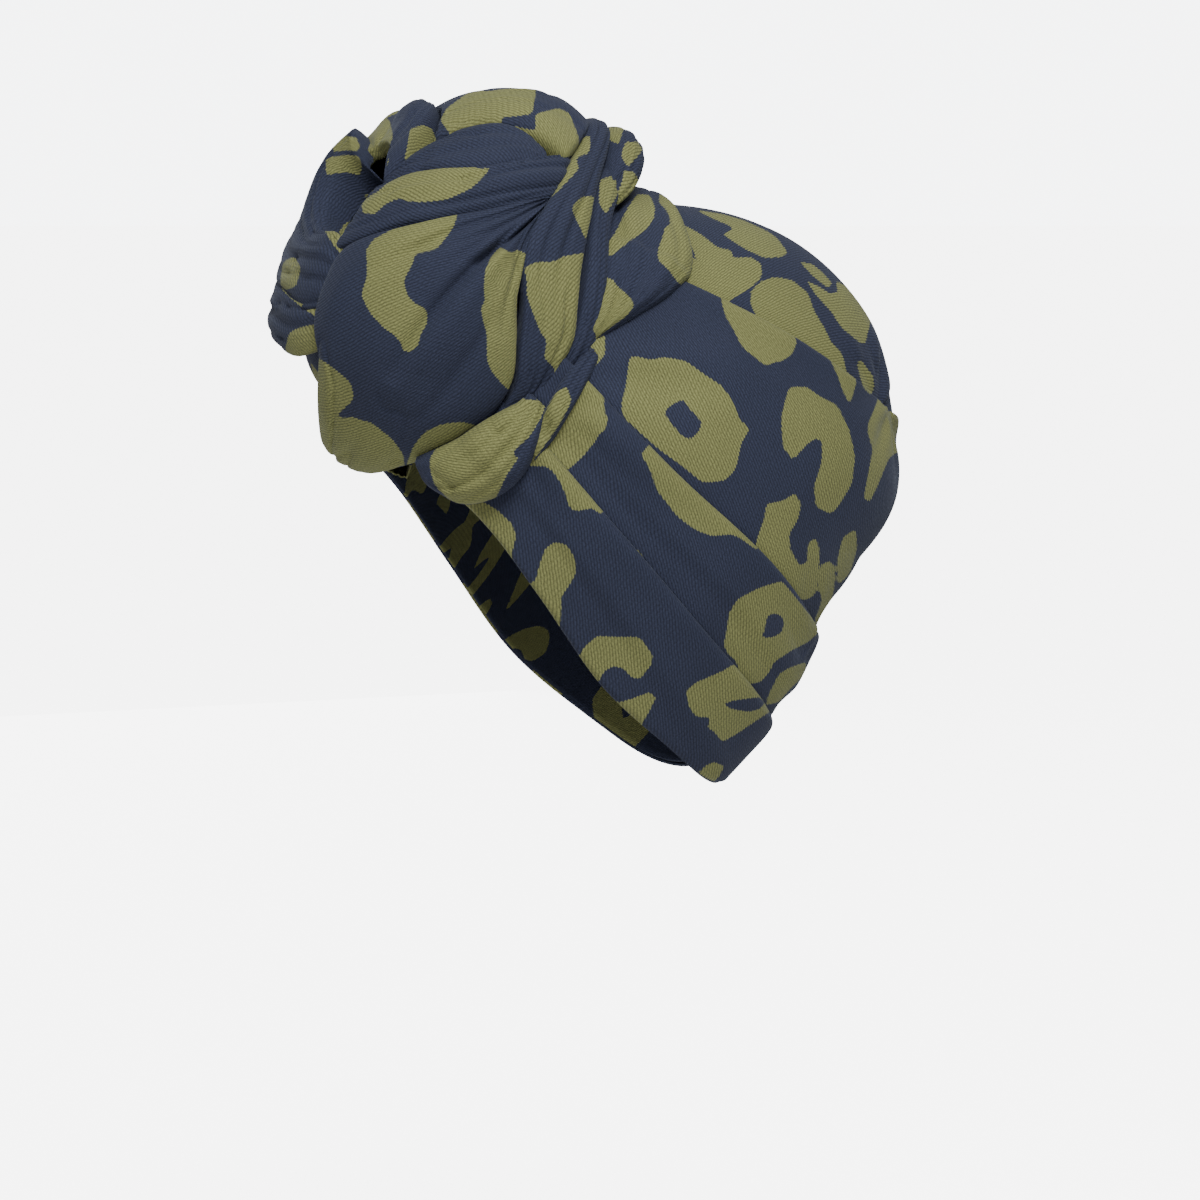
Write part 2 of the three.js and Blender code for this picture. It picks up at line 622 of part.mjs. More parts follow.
function cloth(name, geometry, colour) {
  const plain = geometry.toNonIndexed();
  plain.computeVertexNormals();
  const material = new THREE.MeshStandardMaterial({ color: colour, roughness: 0.85, metalness: 0 });
  const mesh = new THREE.Mesh(plain, material);
  mesh.name = name;
  headwrap.add(mesh);
}

cloth('crown_cap', capGeometry(), NAVY);
for (const name of Object.keys(WRAPS)) cloth(name, wrapGeometry(name), NAVY);

let taken = headBlock();
for (const [folds, form] of [[KNOT_FOLDS, knotPoint], [FOOT_FOLDS, footPoint]]) {
  for (const [name, rows] of Object.entries(folds)) {
    const fold = skinRings(foldSections(rows, form), false);
    cloth(name, geometryOf(solidOf(fold).subtract(taken)), name === 'tail' ? GREEN : NAVY);
    taken = taken.add(solidOf(grown(fold, GAP * CUT_SPREAD)));
  }
}
cloth('knot_core', geometryOf(solidOf(coreGeometry()).subtract(taken)), NAVY);

export default headwrap;
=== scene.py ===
import math

import bpy
import numpy as np
from mathutils import Matrix, Vector
from mathutils.bvhtree import BVHTree


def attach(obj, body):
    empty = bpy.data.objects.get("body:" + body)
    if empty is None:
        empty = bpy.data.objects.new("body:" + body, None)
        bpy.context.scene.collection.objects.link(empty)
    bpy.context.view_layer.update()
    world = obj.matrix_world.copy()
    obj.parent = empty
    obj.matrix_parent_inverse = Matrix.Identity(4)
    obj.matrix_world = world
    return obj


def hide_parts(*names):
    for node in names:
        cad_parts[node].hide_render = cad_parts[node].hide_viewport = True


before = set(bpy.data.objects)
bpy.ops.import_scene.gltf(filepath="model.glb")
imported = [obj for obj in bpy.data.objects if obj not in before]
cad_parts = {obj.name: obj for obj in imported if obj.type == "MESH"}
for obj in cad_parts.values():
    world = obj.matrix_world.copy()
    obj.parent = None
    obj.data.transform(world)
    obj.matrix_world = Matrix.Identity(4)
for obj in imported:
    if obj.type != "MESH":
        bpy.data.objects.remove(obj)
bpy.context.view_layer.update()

MM = 0.001

# Head hollow and cloth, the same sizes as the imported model, in millimetres

HEAD_HALF = np.array([75.0, 104.0, 89.0])
HEAD_SET_BACK = 6.0
CROWN_TILT = math.radians(42)
CAP_WALL = 1.5
WRAP_WALL = 1.5
GAP = 0.3
OVERLAP = 9.0
GATHER_DEPTH = 5.0
GATHER_REACH = 26  # degrees each way round from the nape
GATHERS = [(42, 9, 0.8), (97, 7, 1.0)]  # slope, its reach, share of the depth

HEAD_FORM = {
    "elevation": [-90, -75, -60, -45, -30, -15, 0, 15, 30, 45, 60, 90],
    "back": [1.60, 1.42, 1.205, 1.05, 1.01, 0.985, 1.00, 1.02, 1.045, 1.055, 1.045, 1.00],
    "side": [1.70, 1.60, 1.37, 1.19, 1.08, 1.02, 1.00, 1.005, 1.02, 1.03, 1.02, 1.00],
    "front": [1.70, 1.50, 1.27, 1.12, 1.03, 1.00, 1.00, 1.00, 1.00, 1.00, 1.00, 1.00],
}

# Edges of the wraps, degrees down from the crown axis, by the turn round it from the nape
WRAP_EDGES = {
    "turn": [0, 30, 60, 90, 120, 150, 180],
    "rim": [124, 129.5, 136.5, 135.5, 131, 128.5, 127],
    "front": [115.5, 115.5, 115.5, 112.5, 106.5, 101, 98],
    "middle": [99, 99, 96.8, 95.2, 90.2, 84, 80],
    "upper": [44, 45, 48, 52, 58.5, 66, 70],
}

# Knot
KNOT_CENTRE = np.array([0.0, -60.0, 57.0])
KNOT_LEAN = math.radians(46)
KNOT_FRONT = 57.0
KNOT_HALF_HEIGHT = 73.0
KNOT_HALF_WIDTH = 70.0
KNOT_ROOT = 75.0
KNOT_SQUARENESS = 2.35
FOLD_TUCK = 9.0

# Cloth in the scene, in millimetres where nothing else is said
CLOTH = 0.7
CAP_CLOTH = 1.0
WRAP_CLOTH = 1.2
FOOTING = 0.6  # least height over the head
CAP_GRID = (300, 150)
CAP_HEM = 0.3  # degrees inside the solid's hem
CAP_DIP = 1.2
CAP_CREASED = ((4, 20), (-14, -2))  # degrees from the crown, and from the hem
CROWN_RADIUS = 95.0
WRAP_GRID = (460, 64)
WRAP_RIPPLE = 0.5
WRAP_RIPPLE_SIZE = 46
EDGE_CROWDING = 1.4
EDGE_ROLL = 2.2
EDGE_RISE = 0.9
EDGE_RISE_PLACE = 3
EDGE_RISE_REACH = 5
HEM_DROP = 1.2
HEM_REACH = 1.6
FOLD_SPACING = 1.2
FOLD_ENDS = 0.08  # share of a fold's length over which it rises
FOLD_END_HEIGHT = 0.02
FOLD_FULLNESS = 0.75
FOLD_FLATNESS = 0.85
FOLD_RIPPLE = 0.4
FOLD_RIPPLE_SIZE = 30
TUCK_ANGLE = 118
TUCK_ARCH = 0.47
WRINKLE_FADE = 0.6
RELIEF_FADE = 0.5
STREAK = 0.7
STREAK_GRAIN = (2.2, 2.4)  # along and across a fold
CREASING = 1.3
CREASE_GRAIN = (1.1, 1.9)
SHARPNESS = 14
NORMAL_CALM = 40  # rounds of evening out
AREA_SLACK = 1.001

# The knot's core
CORE_GRID = (240, 100)
CORE_DEPTH = 12.0
CORE_RIPPLE = 3.0
CORE_COILS = (2, 4)  # ripples by the turn and by the slope
CORE_START, CORE_END = 6.0, 144.0  # slopes
CORE_STEP = 2.0
CORE_SIDE = 0.8  # share of the rows on the core's side, the rest under it
CORE_INWARD = 0.92
CORE_LIFT = 5.0  # from the head to the core's underside
TOUCH = 0.01


# The print: green shapes on navy. Outlines are charted in the photograph's frame of
# 1200 by 1200, one text to a closed line. A shape's second line is a hole in it.

FAR_FROM_PRINT = 9.0
SILHOUETTE_FADE = 60.0
HIDE_CLEARANCE = 7.0
HIDE_REACH = 0.4  # metres that a line of sight is followed
FACING_LEAST = 0.05
CORNER_CUT = 0.13
CORNER_ROUNDS = 2

PHOTO_PRINT = {
    "lobe": [
        ["314,355 332,367 351,383 354,399 337,415 341,418 352,417 364,421 372,423 392,439 403,454"
         " 405,470 330,480 300,440 295,385 300,355"],
        ["366,250 374,239 393,229 407,223 410,218 427,215 457,208 457,216 453,228 437,249 415,254"
         " 412,265 405,277 404,284 408,297 418,306 427,308 427,324 421,333 418,345 411,352 403,351"
         " 402,344 396,336 384,328 370,313 361,295 367,277 367,260"],
        ["500,247 491,257 485,271 484,289 485,301 481,308 483,320 487,334 487,360 492,372 504,386"
         " 512,392 526,380 530,350 524,306 526,287 530,256 518,250 511,253"],
        ["406,466 414,445 426,431 443,424 461,422 476,425 480,432 456,447 440,456 415,470"],
    ],
    "long_band": [
        ["362,200 379,191 393,177 408,169 430,157 440,148 455,155 467,163 478,169 490,168"
         " 483,177 472,188 446,200 421,202 407,201 398,198 385,204 374,215 362,212"],
    ],
    "top_fold": [
        ["440,120 447,108 458,100 480,84 532,80 536,91 532,114 516,116 503,117 501,122 506,125"
         " 486,129 454,139"],
        ["535,114 559,108 570,114 580,142 574,156 539,161 507,125 536,131"],
        ["415,129 423,125 432,129 437,142 434,151 420,157 404,162 408,143"],
    ],
    "top_left_fold": [
        ["389,118 368,122 362,136 362,149 358,158 359,171 383,170 388,164 389,146 393,136"],
        ["410,129 423,125 432,129 437,142 434,151 420,157 404,162 408,143"],
    ],
    "curl": [
        ["333,138 345,136 359,138 360,147 357,151 346,150 333,152"],
        ["326,158 345,155 359,156 362,168 360,175 344,172 326,175"],
    ],
    "rope_inner": [
        ["524,268 536,262 553,262 565,256 577,254 590,252 590,278 584,320 574,346 562,370"
         " 556,380 554,367 544,358 547,341 540,331 532,310 527,296 527,279"],
        ["572,207 581,197 594,196 594,211 592,236 586,240 581,229 574,215"],
        ["590,134 566,150 548,189 545,200 553,196 579,169 576,158 590,152"],
        ["545,392 556,380 560,370 575,372 566,388 556,402 540,420 528,432 520,415 530,404"],
    ],
    "rope_outer": [
        ["600,180 612,176 622,178 617,196 606,214 599,204"],
    ],
    "top_right_fold": [
        ["603,128 618,122 624,128 621,136 619,144 611,141 606,134"],
        ["622,158 622,151 626,142 640,142 642,151 628,167"],
        ["622,183 624,170 634,172 644,191 632,201 612,205"],
    ],
    "left_upper_fold": [
        ["318,219 332,207 341,212 344,238 342,255 334,246"],
        ["283,262 294,256 301,268 296,286 286,290 280,284"],
    ],
    "left_lower_fold": [
        ["281,289 286,277 295,279 300,290 320,300 318,318 300,306"],
        ["289,333 298,328 316,324 318,359 318,374 298,366 285,351"],
    ],
    "puff": [
        ["637,194 650,195 655,208 654,217 648,228 628,242 613,255 600,258 604,248 616,232 626,211"],
        ["660,190 659,203 665,208 670,217 670,225 665,228 662,239 658,250 658,260 668,269 679,284"
         " 700,290 704,268 692,226 684,205 672,192"],
        ["600,276 612,279 618,287 630,297 634,305 628,315 612,326 592,342 596,303"],
    ],
    "crown_cap": [
        ["676,224 688,227 702,235 718,248 731,250 733,258 751,257 761,264 762,274 757,282 743,293"
         " 731,299 724,310 702,300 676,290", "684,238 692,247 698,262 688,254"],
        ["696,210 722,214 743,220 767,231 777,238 788,253 780,257 765,258 747,250 731,240 723,234"
         " 732,230 731,226 714,219"],
        ["800,262 812,264 822,272 832,283 828,288 814,277"],
        ["836,281 850,288 867,303 871,319 865,344 859,342 841,327 831,311 816,295 807,281 818,286"
         " 830,294 838,292"],
        ["752,291 761,281 775,277 792,280 808,293 814,311 825,329 831,342 841,352 845,364 846,372"
         " 857,380 851,401 840,395 820,375 797,356 766,336 750,303"],
        ["857,364 860,359 873,376 874,387 871,395 863,387"],
    ],
    "upper_wrap": [
        ["719,290 743,300 767,312 790,327 797,342 792,354 782,361 775,362 766,366 743,348 733,329"
         " 725,315"],
        ["826,350 835,355 846,368 857,380 851,401 848,401 843,391 837,374"],
        ["857,364 860,359 873,376 874,387 871,395 863,387"],
        ["880,375 885,375 893,380 898,399 896,408 902,422 904,436 900,450 889,458 883,472 880,480"
         " 870,502 864,498 867,480 873,449 868,434 868,424 874,410 878,399"],
        ["630,355 651,360 664,357 686,361 702,373 722,386 734,403 739,419 750,429 741,443 736,468"
         " 726,480 712,482 702,482 686,469 655,446 622,416 622,400 626,386",
         "664,412 671,405 683,399 691,410 697,416 702,423 699,431 691,440 682,436 669,421"],
        ["789,387 807,387 819,396 837,405 849,429 855,456 852,483 840,504 831,514 816,507 814,486"
         " 822,462 822,441 816,438 807,444 793,460 783,447 781,417"],
        ["766,504 783,501 795,493 801,504 798,519 789,534 790,549 799,565 807,564 808,543 816,538"
         " 820,552 816,594 806,600 790,598 772,580 755,545 765,516"],
        ["843,537 856,529 857,549 850,573 838,585 837,561"],
        ["818,572 821,565 829,561 835,567 834,590 829,607 828,636 818,650 821,632 814,621 819,610"
         " 822,599 818,583"],
        ["605,334 605,355 593,368 584,372 594,337"],
    ],
    "middle_wrap": [
        ["582,372 596,386 604,396 604,410 608,420 605,430 599,434 594,443 584,455 568,470 562,472"
         " 544,450 548,437 568,413"],
        ["660,430 651,443 641,454 651,471 656,489 677,516 694,529 711,536 734,534 760,552 745,518"
         " 719,488 694,465 672,440"],
        ["738,599 757,589 768,585 782,581 795,597 808,613 819,624 820,631 808,642 792,650 774,662"
         " 768,674 760,682 749,684 741,676 736,661 727,653 724,644 727,629 729,613",
         "767,616 774,613 782,616 784,624 782,632 774,637 766,638 762,636 765,628"],
        ["768,696 779,674 789,668 806,662 805,674 789,690 779,702 766,705"],
        ["630,546 640,552 647,566 641,566"],
        ["691,620 695,631 705,642 718,650 708,637 697,622"],
    ],
    "front_band": [
        ["450,492 481,501 496,509 512,524 516,536 512,552 512,562 507,572 484,545 458,515"],
        ["545,549 555,542 567,545 576,561 575,576 561,597 561,619 557,640 515,587 535,582 539,567"],
        ["572,668 585,646 597,636 616,637 640,637 653,656 651,665 640,679 631,677 623,668 613,666"
         " 604,671 594,690"],
        ["604,697 619,703 634,698 650,692 656,698 646,717 637,732"],
        ["686,691 695,683 723,671 734,664 746,673 762,694 774,701 774,709 754,722 738,733 722,742"
         " 714,731 708,728 710,717 697,717 690,709",
         "724,704 731,701 743,699 760,697 765,703 760,709 749,712 731,709"],
        ["698,773 707,765 714,762 724,766 720,775 714,782"],
        ["526,457 535,445 544,440 553,450 564,464 576,479 590,494 597,494 604,511 600,514 593,508"
         " 576,511 570,508 562,485 553,471 545,466 530,466"],
    ],
    "tail": [
        ["430,458 440,442 476,420 495,408 510,395 529,400 547,400 542,416 530,436 519,446 513,452"
         " 515,457 519,457 507,474 494,502 476,508 460,506 448,499 434,484 430,468"],
    ],
    "strand": [
        ["556,392 566,386 572,400 560,424 545,445 532,462 524,450 538,425"],
    ],
}

# How the shapes repeat over the cloth that the photograph doesn't show: the piece and
# number of a charted shape, its place along and across the cloth in millimetres, and
# its turn in degrees
REPEAT_SIZE = np.array([176.0, 150.0])
REPEAT = [
    ("upper_wrap", 4, 24, 26, 0),
    ("upper_wrap", 5, 76, 24, 80),
    ("middle_wrap", 2, 124, 30, 150),
    ("lobe", 1, 160, 66, 30),
    ("crown_cap", 1, 22, 72, 120),
    ("front_band", 2, 64, 66, 20),
    ("front_band", 1, 106, 74, 60),
    ("upper_wrap", 6, 148, 116, 100),
    ("upper_wrap", 4, 62, 112, 200),
    ("upper_wrap", 5, 104, 128, 310),
    ("front_band", 4, 18, 122, 60),
]
REPEAT_SPACE = 2.5  # millimetres between a repeated shape and a charted one
REPEAT_CLASH = 0.2  # share of a repeated shape that charted cloth may take up
REPEAT_EDGE = 0.5


# Where a fold shows its woven edge: from and to along the fold, and the place across it
SELVAGES = {"lobe": (0.42, 0.76, 0.165)}


# Camera: where the photograph was taken from

PIXELS = 1200
CAMERA_AZIMUTH = math.radians(72)
CAMERA_ELEVATION = math.radians(4)
CAMERA_DISTANCE = 1900.0
PIXEL_MM = 0.385
ORIGIN_PIXEL = (610, 440)


def direction(azimuth, elevation):
    flat = math.cos(elevation)
    return np.array([math.sin(azimuth) * flat, -math.cos(azimuth) * flat, math.sin(elevation)])


PIXEL_SLOPE = PIXEL_MM / CAMERA_DISTANCE
camera_place = direction(CAMERA_AZIMUTH, CAMERA_ELEVATION) * CAMERA_DISTANCE
AIM_RIGHT = math.atan((ORIGIN_PIXEL[0] - PIXELS / 2) * PIXEL_SLOPE)
AIM_DOWN = math.atan((PIXELS / 2 - ORIGIN_PIXEL[1]) * PIXEL_SLOPE)
camera_back = direction(CAMERA_AZIMUTH + AIM_RIGHT, CAMERA_ELEVATION + AIM_DOWN)
camera_right = np.cross([0, 0, 1], camera_back)
camera_right /= np.linalg.norm(camera_right)
camera_up = np.cross(camera_back, camera_right)


def pixels(points):
    """Where points in millimetres show in the photograph's frame."""
    seen = points - camera_place
    depth = -seen @ camera_back
    across = seen @ camera_right / depth / PIXEL_SLOPE
    up = seen @ camera_up / depth / PIXEL_SLOPE
    return np.stack([PIXELS / 2 + across, PIXELS / 2 - up], axis=-1)


def make_camera():
    data = bpy.data.cameras.new("camera")
    data.sensor_width = 36
    data.lens = 36 / (PIXELS * PIXEL_SLOPE)
    data.clip_start = 0.05
    data.clip_end = 20
    camera = bpy.data.objects.new("camera", data)
    bpy.context.collection.objects.link(camera)
    axes = Matrix([camera_right, camera_up, camera_back]).transposed()
    camera.matrix_world = Matrix.Translation(Vector(camera_place * MM)) @ axes.to_4x4()
    bpy.context.scene.camera = camera


# Reading tables and blending

def curve_read(places, values, at):
    """The values of a table's column, read on a smooth curve through its rows."""
    places = np.asarray(places, float)
    values = np.asarray(values, float)
    at = np.clip(at, places[0], places[-1])
    row = np.clip(np.searchsorted(places, at, side="right") - 1, 0, len(places) - 2)
    share = (at - places[row]) / (places[row + 1] - places[row])
    before = values[np.maximum(row - 1, 0)]
    start = values[row]
    end = values[row + 1]
    after = values[np.minimum(row + 2, len(places) - 1)]
    bend = 2 * before - 5 * start + 4 * end - after
    swing = -before + 3 * start - 3 * end + after
    return 0.5 * (2 * start + (end - before) * share + bend * share**2 + swing * share**3)


def smooth_step(low, high, value):
    share = np.clip((value - low) / (high - low), 0, 1)
    return share * share * (3 - 2 * share)


def unit(vectors):
    return vectors / np.maximum(np.linalg.norm(vectors, axis=-1, keepdims=True), 1e-9)


# Head form

crown_axis = np.array([0, math.sin(CROWN_TILT), math.cos(CROWN_TILT)])
nape_axis = np.array([0, math.cos(CROWN_TILT), -math.sin(CROWN_TILT)])
left_axis = np.array([1.0, 0, 0])
head_centre = np.array([0, HEAD_SET_BACK, 0])


def head_share(toward):
    """How far the head reaches each way, as a share of its half sizes."""
    elevation = np.degrees(np.arcsin(np.clip(toward[..., 2], -1, 1)))
    heading = np.arctan2(toward[..., 0], toward[..., 1])
    back = curve_read(HEAD_FORM["elevation"], HEAD_FORM["back"], elevation)
    front = curve_read(HEAD_FORM["elevation"], HEAD_FORM["front"], elevation)
    side = curve_read(HEAD_FORM["elevation"], HEAD_FORM["side"], elevation)
    end = np.where(np.cos(heading) > 0, back, front)
    return end * np.cos(heading) ** 2 + side * np.sin(heading) ** 2


def bare_head(turn, slope):
    turn, slope = np.radians(turn), np.radians(slope)
    toward = np.cos(slope)[..., None] * crown_axis
    toward = toward + (np.sin(slope) * np.cos(turn))[..., None] * nape_axis
    toward = toward + (np.sin(slope) * np.sin(turn))[..., None] * left_axis
    return toward * HEAD_HALF * head_share(toward)[..., None] + head_centre


def clear_of_head(points, lift):
    """Points that would lie in the head come out to the cloth on it."""
    scaled = (points - head_centre) / HEAD_HALF
    toward = unit(scaled)
    reach = np.linalg.norm(scaled, axis=-1)
    least = head_share(toward) + lift / min(HEAD_HALF)
    return toward * np.maximum(reach, least)[..., None] * HEAD_HALF + head_centre


def head_normal(turn, slope):
    step = 0.5
    slope = np.maximum(slope, 2 * step)
    down = bare_head(turn, slope + step) - bare_head(turn, slope - step)
    round_it = bare_head(turn + step, slope) - bare_head(turn - step, slope)
    return unit(np.cross(round_it, down))


def either_way(turn):
    """A turn as degrees to one side or the other, from -180 to 180."""
    return (turn + 180) % 360 - 180


def edge_slope(edge, turn):
    return curve_read(WRAP_EDGES["turn"], WRAP_EDGES[edge], np.abs(either_way(turn)))


def gather_dip(turn, slope):
    """The cloth is drawn in at the back of the crown and again at the nape."""
    sideways = either_way(turn) / GATHER_REACH
    dip = np.zeros_like(sideways)
    for at_slope, reach, share in GATHERS:
        dip = dip + share * np.exp(-(sideways**2) - ((slope - at_slope) / reach) ** 2)
    return -GATHER_DEPTH * dip


def head_point(turn, slope, lift):
    height = lift + gather_dip(turn, slope) * smooth_step(0, 20, slope)
    return bare_head(turn, slope) + head_normal(turn, slope) * height[..., None]


# Creases and soft rises on the head: where each starts and ends, turn and slope in
# degrees, its width and its height there in millimetres, which fade towards its end
HEAD_CREASES = [
    (44, 46, 30, 24, 2.4, -3.4),
    (44, 46, 56, 30, 2.6, -2.0),
    (44, 46, 74, 42, 2.4, -1.6),
    (44, 46, 70, 55, 3.0, -1.8),
    (40, 47, 52, 68, 3.0, -1.8),
    (38, 47, 22, 66, 3.0, -2.2),
    (38, 46, 12, 54, 2.6, -2.4),
    (38, 46, 12, 36, 2.6, -2.4),
    (50, 37, 46, 24, 3.5, 1.6),
    (62, 42, 80, 36, 3.5, 1.2),
    (-30, 46, -20, 26, 2.6, -2.6),
    (-30, 46, -50, 32, 2.6, -2.0),
    (-30, 46, -64, 46, 2.6, -1.6),
    (-30, 47, -50, 64, 3.0, -1.8),
    (-26, 47, -8, 62, 3.0, -2.2),
    (-28, 46, -4, 44, 2.6, -2.2),
    (24, 104, 30, 84, 3.0, -2.6),
    (30, 103, 52, 88, 3.0, -2.2),
    (30, 105, 58, 98, 2.6, -1.6),
    (14, 104, 8, 80, 3.0, -2.4),
    (0, 104, -10, 82, 3.0, -2.4),
    (-20, 104, -34, 86, 3.0, -2.2),
    (-26, 104, -56, 94, 2.8, -1.8),
    (20, 118, 44, 121, 3.0, -1.6),
    (-14, 118, -44, 121, 3.0, -1.6),
    (112, 97, 78, 101, 4.0, 1.4),
    (114, 102, 70, 108, 4.0, -1.2),
    (116, 110, 84, 120, 4.5, 1.2),
    (116, 112, 96, 124, 3.5, -1.0),
    (116, 88, 92, 78, 5.0, -1.2),
    (114, 80, 88, 64, 5.0, 1.4),
    (-112, 97, -78, 101, 4.0, 1.4),
    (-114, 102, -70, 108, 4.0, -1.2),
    (-116, 110, -84, 120, 4.5, 1.2),
    (-112, 84, -84, 72, 5.0, -1.2),
    (-108, 76, -70, 62, 5.0, 1.4),
]
CREASE_DEGREE = 1.66  # millimetres of cloth to a degree
CREASE_START = (-0.12, 0.08)  # where a crease comes up and dies away, as shares of it
CREASE_END = (0.25, 1.0)
CREASE_SPREAD = 1.2

# Where the cloth stands fuller or lies closer: turn, slope, its reach in each, and height
HEAD_FULLNESS = [
    (0, 28, 75, 13, 1.2),
    (0, 64, 62, 13, 5.4),
    (0, 41, 40, 7, 3.0),
    (0, 84, 45, 8, -3.0),
    (0, 119, 38, 6, -3.0),
    (-45, 112, 30, 8, 0.8),
    (96, 88, 26, 8, 1.4),
    (-96, 88, 26, 8, 1.4),
]


def head_relief(turn, slope):
    """Height of the cloth's creases over the smooth form, in millimetres."""
    height = np.zeros_like(slope)
    turn = either_way(turn)
    for from_turn, from_slope, to_turn, to_slope, width, rise in HEAD_CREASES:
        round_it = CREASE_DEGREE * np.sin(np.radians(slope))
        across = (turn - from_turn) * round_it
        down = (slope - from_slope) * CREASE_DEGREE
        along_across = (to_turn - from_turn) * CREASE_DEGREE * math.sin(math.radians(to_slope))
        along_down = (to_slope - from_slope) * CREASE_DEGREE
        length = math.hypot(along_across, along_down)
        share = (across * along_across + down * along_down) / length**2
        off = (across * along_down - down * along_across) / length
        fade = smooth_step(*CREASE_START, share) * (1 - smooth_step(*CREASE_END, share))
        spread = width * (1 + CREASE_SPREAD * np.clip(share, 0, 1))
        height += rise * fade * np.exp(-((off / spread) ** 2))
    for at_turn, at_slope, turn_reach, slope_reach, rise in HEAD_FULLNESS:
        sideways = either_way(turn - at_turn) / turn_reach
        height += rise * np.exp(-(sideways**2) - ((slope - at_slope) / slope_reach) ** 2)
    return height


# Wraps: top edge, lower edge, and whether it rides over the wrap above it. Each rests
# on the cap.

WRAPS = {
    "upper_wrap": ("upper", "middle", False),
    "middle_wrap": ("middle", "front", True),
    "front_band": ("front", "rim", True),
}


def wrap_lift(name, turn, slope):
    top, _, over = WRAPS[name]
    below = slope - edge_slope(top, turn)
    lift = CAP_WALL + GAP + WRAP_WALL
    ride = (WRAP_WALL + GAP) * (1 - smooth_step(OVERLAP + 0.5, OVERLAP + 5, below))
    return lift + ride * over


def foot_point(turn, slope, lift):
    """A point on the outside of the wraps, for the folds at the knot's foot."""
    outside = np.full_like(slope, CAP_WALL)
    for name, (top, _, _) in WRAPS.items():
        edge = edge_slope(top, turn)
        over = smooth_step(edge - 2, edge + 1, slope)
        outside += over * (wrap_lift(name, turn, np.maximum(slope, edge)) - outside)
    return head_point(turn, slope, outside + lift)


# Knot form: a rounded bun that leans forward off the head

knot_axis = np.array([0, -math.sin(KNOT_LEAN), math.cos(KNOT_LEAN)])
knot_top = np.array([0, math.cos(KNOT_LEAN), math.sin(KNOT_LEAN)])


def knot_point(turn, slope, lift):
    turn, slope = np.radians(turn), np.radians(slope)
    along, across = np.cos(slope), np.sin(slope)
    up, left = across * np.cos(turn), across * np.sin(turn)
    power = KNOT_SQUARENESS
    squared = (np.abs(along) ** power + np.abs(across) ** power) ** (-1 / power)
    depth = np.where(along > 0, KNOT_FRONT, KNOT_ROOT)
    point = KNOT_CENTRE + (along * depth * squared)[..., None] * knot_axis
    point = point + (up * KNOT_HALF_HEIGHT * squared)[..., None] * knot_top
    point = point + (left * KNOT_HALF_WIDTH * squared)[..., None] * left_axis
    steep = np.abs(across) ** (power - 2)
    normal = (np.sign(along) * np.abs(along) ** (power - 1) / depth)[..., None] * knot_axis
    normal = normal + (up * steep / KNOT_HALF_HEIGHT)[..., None] * knot_top
    normal = normal + (left * steep / KNOT_HALF_WIDTH)[..., None] * left_axis
    return point + unit(normal) * lift[..., None]


# Folds. A row is a section: turn and slope of its one edge, then of its other, and the
# crest's height as a share of the knot's depth.

